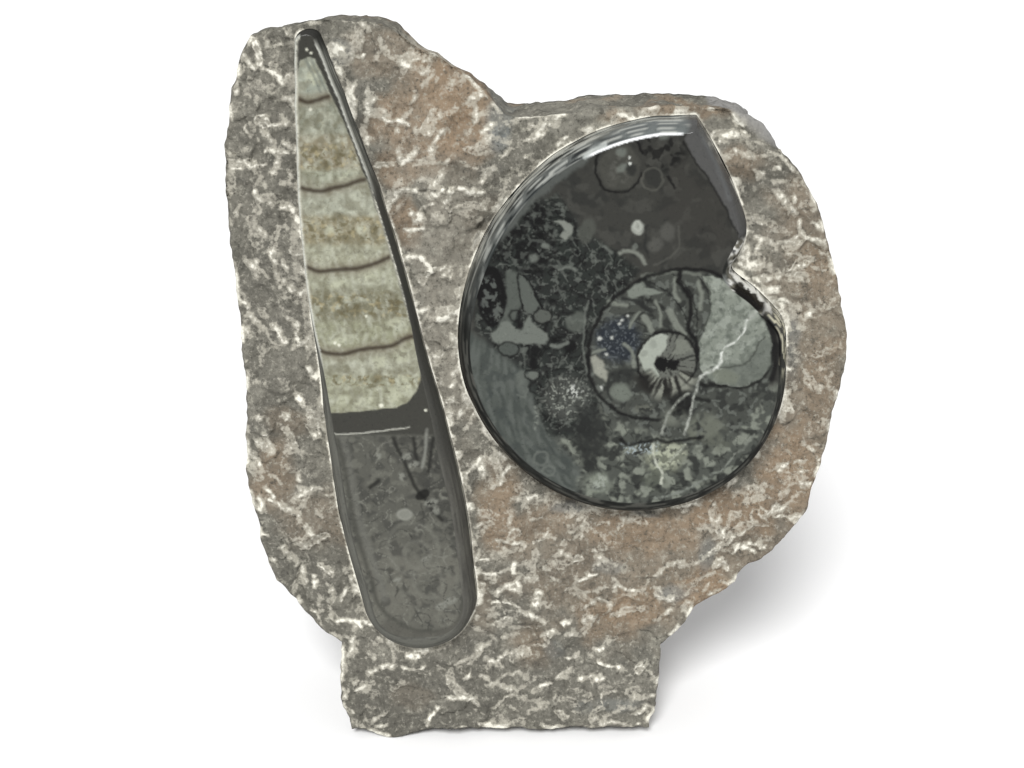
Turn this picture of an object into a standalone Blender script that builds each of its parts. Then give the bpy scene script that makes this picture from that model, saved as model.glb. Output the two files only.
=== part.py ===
"""Fossil plaque: a straight Orthoceras shell and a coiled goniatite, both ground flat and polished,
standing proud of a hand-chiselled slab of limestone that stands on its own flat-sawn foot.

Frame: metres, +Z up, the carved face looks along -Y with +X to its right, and the origin is on the
floor in the middle of the foot. Outlines are drawn on the face itself as (u, v): u runs to the right
and v runs up the leaning face from the floor.
"""
import bpy
import bmesh
from math import cos, exp, hypot, pi, radians, sin, sqrt
from mathutils import Vector, noise
from mathutils.geometry import delaunay_2d_cdt

MM = 0.001

# the slab
FOOT_DEPTH = 46 * MM          # front to back at the floor
FACE_LEAN = radians(4)        # the carved face leans back
BACK_LEAN = radians(2.5)      # the back leans forward
BACK_SHRINK_U = 0.965         # the back outline is a little narrower than the front
BACK_SHRINK_V = 0.986         # and a little lower, so the top faces fall away behind
RING_DEPTHS = [1, 0.87, 0.7, 0.5, 0.3, 0.18]   # rings of the side, from the back to just behind the face
OUTLINE_STEP = 4.2 * MM
FACE_STEP = 4.6 * MM          # size of the chiselled facets on the face
BACK_STEP = 7.5 * MM
LUMP_HEIGHT = 1.2 * MM        # broad lumps of the dressed face
FACET_HEIGHT = 1.0 * MM       # hollows and ridges left by single blows
EDGE_CHIP = 0.4 * MM
SIDE_LUMP = 1.7 * MM
FOOT_CHIP = 3.2 * MM          # the lower front edge of the foot is chipped away by this much
FOOT_CHIP_REACH = 12 * MM     # the chipping dies out this far up the foot's corners
FOOT_TOE = -27 * MM           # except here, where a toe reaches down to the floor
FOOT_TOE_WIDTH = 5.5 * MM
FOOT_TOE_SHARE = 0.93         # how much of the chip is missing at the toe
CORNER_FACET = (60.5 * MM, 157 * MM)   # a flake is struck off the upper right corner
CORNER_REACH = 8 * MM
CORNER_CUT = 3.6 * MM
SHOULDER = (-12 * MM, 171 * MM)   # the back is drawn in behind the left shoulder
SHOULDER_REACH = 17 * MM
SHOULDER_CUT = 2.0 * MM

# slab outline in mm, counter-clockwise; every stretch is smooth and they meet at corners
SLAB_STRETCHES = [
    [(-37.5, 0), (38.5, 0)],                                                        # foot
    [(38.5, 0), (40.2, 12), (40.8, 26)],
    [(40.8, 26), (46, 31.5), (50, 36.8), (58, 42), (61, 46.7), (65.5, 49.5)],
    [(65.5, 49.5), (75, 61), (79, 75), (80.8, 86), (83.4, 103), (80, 121.5), (74.4, 139), (65.6, 151.3)],
    [(65.6, 151.3), (60.8, 157.6), (54, 160.2)],
    [(54, 160.2), (46, 160.9), (30, 160.8), (12, 159), (2.5, 158.6)],               # right lobe, top
    [(2.5, 158.6), (-7.3, 168), (-19.8, 175.2), (-24.5, 178.6)],
    [(-24.5, 178.6), (-31.5, 180.3), (-43, 179.8), (-56, 177)],                     # left lobe, top
    [(-56, 177), (-58.5, 172.4)],
    [(-58.5, 172.4), (-63.2, 148), (-61, 105), (-60.7, 88), (-61.3, 76), (-60.5, 65), (-58.5, 56),
     (-55, 43.4)],
    [(-55, 43.4), (-46.6, 33.2), (-39.3, 26.8)],
    [(-39.3, 26.8), (-39.7, 12), (-37.5, 0)],
]

# the orthoceras: a straight axis from the rounded end to the tip, with a half-width along it
ORTHO_END = (-17.1 * MM, 26 * MM)
ORTHO_TIP = (-43.1 * MM, 178.3 * MM)
ORTHO_HALF_WIDTHS = [(0, 13.9), (14, 14.3), (36, 15.5), (60, 14.5), (76, 12.9), (91, 11.9),
                     (117, 9.3), (139, 5.65), (148, 3.8), (156, 2.2)]
ORTHO_ROUND_END = 14 * MM
ORTHO_ROUND_TIP = 1.6 * MM
ORTHO_RELIEF = 8 * MM
ORTHO_RUN_SIDE = 3.2 * MM     # how far the rounded side runs in, at the wide end
ORTHO_RUN_TIP = 0.6 * MM
ORTHO_RUN_END = 6 * MM
ORTHO_NARROWING = (80 * MM, 118 * MM)   # between these heights the rounded side narrows
ORTHO_STATIONS = 26

# the goniatite: radius of the last whorl round the coil's centre, every 30 degrees clockwise
COIL_CENTRE = (41.3 * MM, 99.3 * MM)
COIL_RADII = [27.8, 29.3, 32.4, 35.8, 40.2, 45, 50.1, 53.5, 57.6, 59.7]
COIL_END = radians(266)
COIL_POINTS = 66
# the mouth of the shell, from its outer lip down to the notch above the coil, in mm
SHELL_MOUTH = [(46, 158.8), (50, 152.5), (55, 143), (58.4, 133.5), (57.2, 127.5), (55.2, 123.2),
               (61.3, 118), (67.8, 110.8), (69, 104.5)]
GONIATITE_RELIEF = 9 * MM
GONIATITE_RUN_SIDE = 3 * MM
GONIATITE_RUN_LOW = 4.6 * MM

ROOT_DEPTH = 5 * MM           # how deep a fossil sits in the rock
SEAT_GAP = 0.3 * MM
# rounded side of a fossil: part of the relief, and part of the run that is used up at that height
SIDE_PROFILE = [(0, 0), (0.45, 0.16), (0.8, 0.5), (0.95, 0.8), (1, 1)]


def face_point(u, v, height=0.0):
    """A point on the leaning face, raised out of it by height."""
    return Vector((u,
                   -FOOT_DEPTH / 2 + v * sin(FACE_LEAN) - height * cos(FACE_LEAN),
                   v * cos(FACE_LEAN) + height * sin(FACE_LEAN)))


def back_point(u, v):
    """The point of the back that lies behind (u, v) on the face."""
    z = v * cos(FACE_LEAN) * BACK_SHRINK_V
    return Vector((u * BACK_SHRINK_U, FOOT_DEPTH / 2 - z * sin(BACK_LEAN), z))


def rough(place, size, seed):
    """Smooth noise of about -1 to 1, with lumps of the given size."""
    return 1.6 * noise.noise(Vector(place) / size + Vector((seed, 0.37 * seed, 0)))


def curve_point(before, start, end, after, t):
    """A point of the Catmull-Rom curve between start and end."""
    return tuple(0.5 * (2 * b + (c - a) * t + (2 * a - 5 * b + 4 * c - d) * t * t
                        + (3 * b - a - 3 * c + d) * t ** 3)
                 for a, b, c, d in zip(before, start, end, after))


def smooth_run(points, step):
    """Points about a step apart along a smooth curve through the given ones, without the last."""
    padded = [points[0]] + points + [points[-1]]
    run = []
    for i in range(len(points) - 1):
        before, start, end, after = padded[i:i + 4]
        pieces = max(1, round(hypot(end[0] - start[0], end[1] - start[1]) / step))
        run += [curve_point(before, start, end, after, k / pieces) for k in range(pieces)]
    return run


def interpolate(table, x):
    """Smooth value of a table of (x, value) pairs."""
    for i in range(len(table) - 1):
        if x <= table[i + 1][0] or i == len(table) - 2:
            before, after = table[max(i - 1, 0)], table[min(i + 2, len(table) - 1)]
            t = (x - table[i][0]) / (table[i + 1][0] - table[i][0])
            return curve_point(before, table[i], table[i + 1], after, t)[1]


def offset_loop(loop, distances):
    """Move every point of a counter-clockwise loop outward by its own distance."""
    moved = []
    for i, (u, v) in enumerate(loop):
        ahead = loop[(i + 1) % len(loop)]
        behind = loop[i - 1]
        along = Vector((ahead[0] - behind[0], ahead[1] - behind[1])).normalized()
        moved.append((u + along.y * distances[i], v - along.x * distances[i]))
    return moved


def slab_outline():
    """The slab's outline on the face, with its edge chipped in and out."""
    loop = []
    for stretch in SLAB_STRETCHES:
        loop += smooth_run([(u * MM, v * MM) for u, v in stretch], OUTLINE_STEP)
    chips = [EDGE_CHIP * (rough((u, v, 0), 9 * MM, 3) + 0.6 * rough((u, v, 0), 4 * MM, 5)) if v > 0 else 0
             for u, v in loop]
    return offset_loop(loop, chips)


def ortho_outline():
    """Counter-clockwise outline of the orthoceras where it meets the rock."""
    end, tip = Vector(ORTHO_END), Vector(ORTHO_TIP)
    length = (tip - end).length
    axis = (tip - end) / length
    right = Vector((axis.y, -axis.x))
    table = [(s * MM, w * MM) for s, w in ORTHO_HALF_WIDTHS]
    stations = [length * (1 - cos(pi * i / ORTHO_STATIONS)) / 2 for i in range(ORTHO_STATIONS + 1)]

    def half_width(s):
        width = interpolate(table, s)
        if s < ORTHO_ROUND_END:
            width *= sqrt(max(0, 1 - (1 - s / ORTHO_ROUND_END) ** 2))
        if length - s < ORTHO_ROUND_TIP:
            width *= sqrt(max(0, 1 - (1 - (length - s) / ORTHO_ROUND_TIP) ** 2))
        return width

    up_right = [end + axis * s + right * half_width(s) for s in stations[:-1]]
    down_left = [end + axis * s - right * half_width(s) for s in reversed(stations[1:])]
    return [tuple(p) for p in up_right + down_left]


def goniatite_outline():
    """Counter-clockwise outline of the goniatite where it meets the rock."""
    table = [(radians(30 * i), r * MM) for i, r in enumerate(COIL_RADII)]
    whorl = []
    for i in range(COIL_POINTS):
        angle = COIL_END * i / (COIL_POINTS - 1)
        radius = interpolate(table, angle)
        whorl.append((COIL_CENTRE[0] + radius * cos(angle), COIL_CENTRE[1] - radius * sin(angle)))
    mouth = smooth_run([(u * MM, v * MM) for u, v in SHELL_MOUTH], 3 * MM)
    return list(reversed(whorl + mouth))


def loop_normals(loop):
    """Outward direction at every point of a counter-clockwise loop."""
    outer = offset_loop(loop, [1] * len(loop))
    return [(b[0] - a[0], b[1] - a[1]) for a, b in zip(loop, outer)]


def ortho_runs(loop):
    """How far the rounded side of the orthoceras runs in at every point of its outline."""
    runs = []
    for (u, v), (_, upward) in zip(loop, loop_normals(loop)):
        height = (v - ORTHO_NARROWING[0]) / (ORTHO_NARROWING[1] - ORTHO_NARROWING[0])
        side = ORTHO_RUN_SIDE + (ORTHO_RUN_TIP - ORTHO_RUN_SIDE) * max(0, min(1, height))
        runs.append(side + (ORTHO_RUN_END - side) * max(0, -upward) ** 3)
    return runs


def goniatite_runs(loop):
    """How far the side of the goniatite runs in at every point of its outline."""
    return [GONIATITE_RUN_SIDE + (GONIATITE_RUN_LOW - GONIATITE_RUN_SIDE) * max(0, -upward) ** 2
            for _, upward in loop_normals(loop)]


def inside(point, loop):
    """Whether a point lies inside a loop."""
    u, v = point
    hit = False
    for i, (u1, v1) in enumerate(loop):
        u2, v2 = loop[i - 1]
        if (v1 > v) != (v2 > v) and u < u1 + (v - v1) / (v2 - v1) * (u2 - u1):
            hit = not hit
    return hit


def lattice(loops, step):
    """Staggered points inside the first loop, outside the others and clear of them all."""
    outer, holes = loops[0], loops[1:]
    rim = [p for loop in loops for p in loop]
    low_u, low_v = (min(p[k] for p in outer) for k in (0, 1))
    high_u, high_v = (max(p[k] for p in outer) for k in (0, 1))
    points = []
    rows = int((high_v - low_v) / (step * 0.87))
    columns = int((high_u - low_u) / step)
    for row in range(rows + 1):
        for column in range(columns + 1):
            u = low_u + (column + 0.5 * (row % 2)) * step
            v = low_v + row * step * 0.87
            u += 0.22 * step * rough((u, v, 0), 0.4 * step, 11)
            v += 0.22 * step * rough((u, v, 0), 0.4 * step, 12)
            clear = min(hypot(u - a, v - b) for a, b in rim) > 0.55 * step
            if clear and inside((u, v), outer) and not any(inside((u, v), hole) for hole in holes):
                points.append((u, v))
    return points


def add_loop(bm, loop, place):
    """Vertices for a loop of (u, v) points."""
    return [bm.verts.new(place(u, v)) for u, v in loop]


def bridge(bm, lower, upper):
    """A band of quads between two rings; its faces look outward when the rings run counter-clockwise
    and the upper one is nearer to the viewer."""
    for i in range(len(lower)):
        bm.faces.new((lower[i - 1], lower[i], upper[i], upper[i - 1]))


def fill_sheet(bm, loops, rings, step, place):
    """Triangles inside the first loop and outside the others, with a lattice of points between."""
    flat = [p for loop in loops for p in loop]
    verts = [vert for ring in rings for vert in ring]
    edges = []
    for loop in loops:
        start = len(edges)
        edges += [(start + i, start + (i + 1) % len(loop)) for i in range(len(loop))]
    inner = lattice(loops, step)
    flat += inner
    verts += add_loop(bm, inner, place)
    _, _, triangles, sources, _, _ = delaunay_2d_cdt([Vector(p) for p in flat], edges, [], 0, 1e-7)
    for triangle in triangles:
        corners = [sources[i][0] for i in triangle]
        centre = tuple(sum(flat[i][k] for i in corners) / 3 for k in (0, 1))
        if inside(centre, loops[0]) and not any(inside(centre, hole) for hole in loops[1:]):
            bm.faces.new([verts[i] for i in corners])


def dressed_height(u, v):
    """Height of the chiselled face above its mean plane."""
    return (LUMP_HEIGHT * rough((u, v, 0), 21 * MM, 1)
            + FACET_HEIGHT * rough((u, v, 0), 7.5 * MM, 2))


def dented(outline, place, reach, cut):
    """The outline pushed in by the cut at one place, over the given reach."""
    pushes = []
    for u, v in outline:
        distance = hypot(u - place[0], v - place[1]) / reach
        pushes.append(-cut * max(0, 1 - distance * distance))
    return offset_loop(outline, pushes)


def face_edge(outline):
    """The outline where the carved face ends: cut back at the struck corner and under the foot."""
    edge = []
    for u, v in dented(outline, CORNER_FACET, CORNER_REACH, CORNER_CUT):
        chip = FOOT_CHIP * (0.9 + 0.2 * rough((u, 0, 0), 6 * MM, 9))
        chip *= 1 - FOOT_TOE_SHARE * exp(-((u - FOOT_TOE) / FOOT_TOE_WIDTH) ** 2)
        edge.append((u, v + chip * max(0, 1 - v / FOOT_CHIP_REACH)))
    return edge


def slab_ring(outline, back_edge, depth):
    """One ring of the slab's side behind the face, at a depth of up to 1 on the back."""
    ring = []
    for (u, v), (back_u, back_v), (out_u, out_v) in zip(outline, back_edge, loop_normals(outline)):
        place = face_point(u, v).lerp(back_point(back_u, back_v), depth)
        lump = rough(place, 13 * MM, 7) + 0.5 * rough(place, 6 * MM, 8)
        push = SIDE_LUMP * (lump - 0.8) * sin(pi * depth)
        if v > 0:
            place.x += out_u * push
            place.z = max(0, place.z + out_v * push)
        ring.append(place)
    return ring


def build_slab(seats):
    """The rock, with a seat sunk in its face for each fossil."""
    bm = bmesh.new()
    outline = slab_outline()
    edge = face_edge(outline)
    back_edge = dented(outline, SHOULDER, SHOULDER_REACH, SHOULDER_CUT)
    rings = [[bm.verts.new(p) for p in slab_ring(outline, back_edge, depth)] for depth in RING_DEPTHS]
    rings.append(add_loop(bm, edge, face_point))
    for back, front in zip(rings, rings[1:]):
        bridge(bm, back, front)
    rims = [add_loop(bm, seat, lambda u, v: face_point(u, v, dressed_height(u, v))) for seat in seats]
    fill_sheet(bm, [edge] + seats, [rings[-1]] + rims, FACE_STEP,
               lambda u, v: face_point(u, v, dressed_height(u, v)))
    fill_sheet(bm, [back_edge], [rings[0]], BACK_STEP,
               lambda u, v: back_point(u, v) + Vector((0, SIDE_LUMP * rough((u, v, 0), 17 * MM, 6), 0)))
    for seat, rim in zip(seats, rims):
        floor = add_loop(bm, seat, lambda u, v: face_point(u, v, -ROOT_DEPTH - SEAT_GAP))
        bridge(bm, floor, rim)
        bm.faces.new(floor)
    return finish(bm, "matrix_slab")


def build_fossil(name, outline, runs, relief):
    """A fossil with a straight root in the rock, a rounded side and a flat polished top."""
    bm = bmesh.new()
    rings = [add_loop(bm, outline, lambda u, v: face_point(u, v, -ROOT_DEPTH))]
    for height, share in SIDE_PROFILE:
        loop = offset_loop(outline, [-run * share for run in runs])
        rings.append(add_loop(bm, loop, lambda u, v: face_point(u, v, relief * height)))
    for lower, upper in zip(rings, rings[1:]):
        bridge(bm, lower, upper)
    bm.faces.new(rings[0])
    bm.faces.new(rings[-1])
    return finish(bm, name)


def finish(bm, name):
    """Turn the mesh into an object in the plaque's collection, all its faces pointing out."""
    bmesh.ops.triangulate(bm, faces=[f for f in bm.faces if len(f.verts) > 3])
    bmesh.ops.recalc_face_normals(bm, faces=bm.faces)
    mesh = bpy.data.meshes.new(name)
    bm.to_mesh(mesh)
    bm.free()
    piece = bpy.data.objects.new(name, mesh)
    bpy.data.collections["orthoceras_plaque"].objects.link(piece)
    return piece


def paint(piece, colour, roughness):
    """The piece's own plain stone material."""
    material = bpy.data.materials.new(piece.name + "_stone")
    material.use_nodes = True
    shader = material.node_tree.nodes["Principled BSDF"]
    shader.inputs["Base Color"].default_value = (*colour, 1)
    shader.inputs["Roughness"].default_value = roughness
    shader.inputs["Metallic"].default_value = 0
    piece.data.materials.append(material)


def main():
    for old in list(bpy.data.objects):
        bpy.data.objects.remove(old, do_unlink=True)
    plaque = bpy.data.collections.new("orthoceras_plaque")
    bpy.context.scene.collection.children.link(plaque)

    ortho = ortho_outline()
    goniatite = goniatite_outline()
    seats = [offset_loop(loop, [SEAT_GAP] * len(loop)) for loop in (ortho, goniatite)]

    slab = build_slab(seats)
    paint(slab, (0.27, 0.23, 0.18), 0.9)

    straight_shell = build_fossil("orthoceras", ortho, ortho_runs(ortho), ORTHO_RELIEF)
    straight_shell.data.shade_smooth()
    straight_shell.data.set_sharp_from_angle(angle=radians(35))
    paint(straight_shell, (0.32, 0.31, 0.25), 0.35)

    coiled_shell = build_fossil("goniatite", goniatite, goniatite_runs(goniatite), GONIATITE_RELIEF)
    coiled_shell.data.shade_smooth()
    coiled_shell.data.set_sharp_from_angle(angle=radians(35))
    paint(coiled_shell, (0.06, 0.065, 0.065), 0.25)


main()
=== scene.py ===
"""Looks of the fossil plaque: chiselled limestone, a polished orthoceras and a polished goniatite."""
import bpy
import numpy as np
from math import cos, pi, radians, sin
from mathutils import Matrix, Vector, kdtree, noise
from mathutils.geometry import delaunay_2d_cdt

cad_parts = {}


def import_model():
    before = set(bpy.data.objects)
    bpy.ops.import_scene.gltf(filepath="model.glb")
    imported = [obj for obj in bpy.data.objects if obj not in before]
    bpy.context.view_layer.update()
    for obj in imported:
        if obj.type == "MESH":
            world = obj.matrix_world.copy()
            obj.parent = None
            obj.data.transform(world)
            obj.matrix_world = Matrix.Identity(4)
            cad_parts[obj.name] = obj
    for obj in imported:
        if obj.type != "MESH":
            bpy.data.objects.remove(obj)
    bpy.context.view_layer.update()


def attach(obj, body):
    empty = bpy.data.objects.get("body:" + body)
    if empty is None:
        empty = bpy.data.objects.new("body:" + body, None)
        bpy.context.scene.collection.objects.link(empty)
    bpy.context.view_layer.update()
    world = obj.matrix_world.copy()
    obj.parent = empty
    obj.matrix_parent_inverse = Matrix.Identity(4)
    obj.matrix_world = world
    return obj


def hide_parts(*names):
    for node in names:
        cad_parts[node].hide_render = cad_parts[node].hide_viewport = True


MM = 0.001
SEED = 7

# ---- the plaque's driving sizes, in mm, the same as the solids' ----
FOOT_DEPTH = 46
FACE_LEAN = radians(4)
BACK_LEAN = radians(2.5)
BACK_SHRINK_U = 0.965
BACK_SHRINK_V = 0.986
LUMP_HEIGHT = 1.2
FACET_HEIGHT = 1.0
EDGE_CHIP = 0.4
SIDE_LUMP = 1.7
FOOT_CHIP = 3.2
FOOT_CHIP_REACH = 12
FOOT_TOE = -27
FOOT_TOE_WIDTH = 5.5
FOOT_TOE_SHARE = 0.93
FOOT_CHIP_DEPTH = 0.2
CORNER_FACET = (60.5, 157)
CORNER_REACH = 8
CORNER_CUT = 3.6
SHOULDER = (-12, 171)
SHOULDER_REACH = 17
SHOULDER_CUT = 2.0
SLAB_STRETCHES = [
    [(-37.5, 0), (38.5, 0)],
    [(38.5, 0), (40.2, 12), (40.8, 26)],
    [(40.8, 26), (46, 31.5), (50, 36.8), (58, 42), (61, 46.7), (65.5, 49.5)],
    [(65.5, 49.5), (75, 61), (79, 75), (80.8, 86), (83.4, 103), (80, 121.5), (74.4, 139), (65.6, 151.3)],
    [(65.6, 151.3), (60.8, 157.6), (54, 160.2)],
    [(54, 160.2), (46, 160.9), (30, 160.8), (12, 159), (2.5, 158.6)],
    [(2.5, 158.6), (-7.3, 168), (-19.8, 175.2), (-24.5, 178.6)],
    [(-24.5, 178.6), (-31.5, 180.3), (-43, 179.8), (-56, 177)],
    [(-56, 177), (-58.5, 172.4)],
    [(-58.5, 172.4), (-63.2, 148), (-61, 105), (-60.7, 88), (-61.3, 76), (-60.5, 65), (-58.5, 56),
     (-55, 43.4)],
    [(-55, 43.4), (-46.6, 33.2), (-39.3, 26.8)],
    [(-39.3, 26.8), (-39.7, 12), (-37.5, 0)],
]
ORTHO_END = (-17.1, 26)
ORTHO_TIP = (-43.1, 178.3)
ORTHO_HALF_WIDTHS = [(0, 13.9), (14, 14.3), (36, 15.5), (60, 14.5), (76, 12.9), (91, 11.9),
                     (117, 9.3), (139, 5.65), (148, 3.8), (156, 2.2)]
ORTHO_ROUND_END = 14
ORTHO_ROUND_TIP = 1.6
ORTHO_RELIEF = 8
ORTHO_RUN_SIDE = 3.2
ORTHO_RUN_TIP = 0.6
ORTHO_RUN_END = 6
ORTHO_NARROWING = (80, 118)
COIL_CENTRE = (41.3, 99.3)
COIL_RADII = [27.8, 29.3, 32.4, 35.8, 40.2, 45, 50.1, 53.5, 57.6, 59.7]
COIL_END = radians(266)
SHELL_MOUTH = [(46, 158.8), (50, 152.5), (55, 143), (58.4, 133.5), (57.2, 127.5), (55.2, 123.2),
               (61.3, 118), (67.8, 110.8), (69, 104.5)]
GONIATITE_RELIEF = 9
GONIATITE_RUN_SIDE = 3
GONIATITE_RUN_LOW = 4.6
ROOT_DEPTH = 5
SEAT_GAP = 0.3
SIDE_PROFILE = [(0, 0), (0.45, 0.16), (0.8, 0.5), (0.95, 0.8), (1, 1)]

# ---- fineness of the dressed surfaces, in mm ----
OUTLINE_FINE = 0.6
FACE_FINE = 0.48
SIDE_RINGS = 26    # a count: the loops of points from the back to the face
BACK_FINE = 2
POLISH_FINE = 0.33
RIM_FINE = 0.5
CORNER_SOFTNESS = 3.6
SEAT_LINE = 0.1         # the fine dark line left round a fossil


# ---------------------------------------------------------------- outlines

def face_points(uv, height=0.0):
    """Points of the leaning face in mm, raised out of it by height."""
    u, v = uv[:, 0], uv[:, 1]
    return np.stack([u,
                     -FOOT_DEPTH / 2 + v * sin(FACE_LEAN) - height * cos(FACE_LEAN),
                     v * cos(FACE_LEAN) + height * sin(FACE_LEAN)], 1)


def back_points(uv):
    z = uv[:, 1] * cos(FACE_LEAN) * BACK_SHRINK_V
    return np.stack([uv[:, 0] * BACK_SHRINK_U, FOOT_DEPTH / 2 - z * sin(BACK_LEAN), z], 1)


def rough(points, size, seed):
    """Smooth noise of about -1 to 1 at every point, with lumps of the given size in mm."""
    if points.shape[1] == 2:
        points = np.column_stack([points, np.zeros(len(points))])
    shifted = points / size + np.array([seed, 0.37 * seed, 0])
    return 1.6 * np.array([noise.noise(Vector(p)) for p in shifted.tolist()])


def curve_point(before, start, end, after, t):
    return tuple(0.5 * (2 * b + (c - a) * t + (2 * a - 5 * b + 4 * c - d) * t * t
                        + (3 * b - a - 3 * c + d) * t ** 3)
                 for a, b, c, d in zip(before, start, end, after))


def smooth_run(points, step):
    """Points about a step apart along a smooth curve through the given ones, without the last."""
    padded = [points[0]] + list(points) + [points[-1]]
    run = []
    for i in range(len(points) - 1):
        before, start, end, after = padded[i:i + 4]
        pieces = max(1, round(np.hypot(end[0] - start[0], end[1] - start[1]) / step))
        run += [curve_point(before, start, end, after, k / pieces) for k in range(pieces)]
    return run


def interpolate(table, x):
    for i in range(len(table) - 1):
        if x <= table[i + 1][0] or i == len(table) - 2:
            before, after = table[max(i - 1, 0)], table[min(i + 2, len(table) - 1)]
            t = (x - table[i][0]) / (table[i + 1][0] - table[i][0])
            return curve_point(before, table[i], table[i + 1], after, t)[1]


def loop_normals(loop, reach=CORNER_SOFTNESS):
    """Outward directions, which turn gradually past a corner so that an offset loop can't cross itself."""
    spacing = np.linalg.norm(np.roll(loop, -1, 0) - loop, axis=1).mean()
    skip = max(1, int(round(reach / spacing)))
    along = np.roll(loop, -skip, 0) - np.roll(loop, skip, 0)
    along /= np.maximum(np.linalg.norm(along, axis=1), 1e-9)[:, None]
    return np.column_stack([along[:, 1], -along[:, 0]])


def offset_loop(loop, distance):
    return loop + loop_normals(loop) * np.reshape(distance, (-1, 1))


def resample(loop, step):
    """The same closed loop with points evenly a step apart."""
    closed = np.vstack([loop, loop[:1]])
    lengths = np.concatenate([[0], np.cumsum(np.linalg.norm(np.diff(closed, axis=0), axis=1))])
    count = int(round(lengths[-1] / step))
    at = np.linspace(0, lengths[-1], count, endpoint=False)
    return np.column_stack([np.interp(at, lengths, closed[:, k]) for k in (0, 1)])


def slab_outline():
    """The slab's outline, chipped as the solid is, with finer chips on top."""
    loop = []
    for stretch in SLAB_STRETCHES:
        loop += smooth_run(stretch, OUTLINE_FINE)
    loop = np.array(loop)
    chips = EDGE_CHIP * (rough(loop, 9, 3) + 0.6 * rough(loop, 4, 5))
    chips = chips * (loop[:, 1] > 0)
    fine = 0.2 * rough(loop, 1.9, 15) * np.clip(loop[:, 1] / 3, 0, 1)
    return offset_loop(loop, chips + fine)


def foot_chip(outline):
    """How much of the foot's lower front edge is chipped away, up from the floor."""
    across = np.column_stack([outline[:, 0], np.zeros(len(outline))])
    chip = FOOT_CHIP * (0.9 + 0.2 * rough(across, 6, 9) + 0.06 * rough(across, 1.6, 19))
    chip *= 1 - FOOT_TOE_SHARE * np.exp(-((outline[:, 0] - FOOT_TOE) / FOOT_TOE_WIDTH) ** 2)
    return chip * np.clip(1 - outline[:, 1] / FOOT_CHIP_REACH, 0, None)


def dented(outline, place, reach, cut):
    """The outline pushed in by the cut at one place, over the given reach."""
    distance = np.hypot(outline[:, 0] - place[0], outline[:, 1] - place[1]) / reach
    return offset_loop(outline, -cut * np.clip(1 - distance ** 2, 0, None))


def face_edge(outline):
    """The outline where the carved face ends: cut back at the struck corner and under the foot."""
    edge = dented(outline, CORNER_FACET, CORNER_REACH, CORNER_CUT)
    edge[:, 1] += foot_chip(edge)
    return edge


def ortho_frame():
    end, tip = np.array(ORTHO_END, float), np.array(ORTHO_TIP, float)
    length = np.linalg.norm(tip - end)
    axis = (tip - end) / length
    return end, axis, np.array([axis[1], -axis[0]]), length


def ortho_half_width(s):
    length = ortho_frame()[3]
    width = interpolate(ORTHO_HALF_WIDTHS, s)
    if s < ORTHO_ROUND_END:
        width *= max(0, 1 - (1 - s / ORTHO_ROUND_END) ** 2) ** 0.5
    if length - s < ORTHO_ROUND_TIP:
        width *= max(0, 1 - (1 - (length - s) / ORTHO_ROUND_TIP) ** 2) ** 0.5
    return width


def ortho_outline():
    end, axis, right, length = ortho_frame()
    stations = length * (1 - np.cos(np.linspace(0, pi, 240))) / 2
    widths = np.array([ortho_half_width(s) for s in stations])
    up = end + axis * stations[:, None] + right * widths[:, None]
    down = end + axis * stations[::-1, None] - right * widths[::-1, None]
    return resample(np.vstack([up[:-1], down[:-1]]), RIM_FINE)


def goniatite_outline():
    table = [(radians(30 * i), r) for i, r in enumerate(COIL_RADII)]
    whorl = []
    for angle in np.linspace(0, COIL_END, 300):
        radius = interpolate(table, angle)
        whorl.append((COIL_CENTRE[0] + radius * cos(angle), COIL_CENTRE[1] - radius * sin(angle)))
    mouth = smooth_run(SHELL_MOUTH, 0.6)
    return resample(np.array(list(reversed(whorl + mouth))), RIM_FINE)


def ortho_runs(loop):
    upward = loop_normals(loop)[:, 1]
    height = np.clip((loop[:, 1] - ORTHO_NARROWING[0]) / (ORTHO_NARROWING[1] - ORTHO_NARROWING[0]), 0, 1)
    side = ORTHO_RUN_SIDE + (ORTHO_RUN_TIP - ORTHO_RUN_SIDE) * height
    return side + (ORTHO_RUN_END - side) * np.clip(-upward, 0, None) ** 3


def goniatite_runs(loop):
    upward = loop_normals(loop)[:, 1]
    return GONIATITE_RUN_SIDE + (GONIATITE_RUN_LOW - GONIATITE_RUN_SIDE) * np.clip(-upward, 0, None) ** 2


def signed_distance(points, loop):
    """Distance in mm to a finely drawn counter-clockwise loop, negative inside it."""
    tree = kdtree.KDTree(len(loop))
    for i, (u, v) in enumerate(loop.tolist()):
        tree.insert((u, v, 0), i)
    tree.balance()
    nearest = np.array([tree.find((u, v, 0))[1] for u, v in points.tolist()])
    distances, sides = [], []
    for before in (1, 0):
        start = loop[(nearest - before) % len(loop)]
        along = loop[(nearest - before + 1) % len(loop)] - start
        length = np.maximum(np.linalg.norm(along, axis=1), 1e-9)
        share = np.clip(np.sum((points - start) * along, axis=1) / length ** 2, 0, 1)
        away = points - start - along * share[:, None]
        distances.append(np.linalg.norm(away, axis=1))
        sides.append((away[:, 0] * along[:, 1] - away[:, 1] * along[:, 0]) / length)
    first, second = distances
    side = np.where(abs(first - second) < 1e-6, sides[0] + sides[1], np.where(first < second, *sides))
    return np.where(side < 0, -1, 1) * np.minimum(first, second)


# ---------------------------------------------------------------- mesh building

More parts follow.
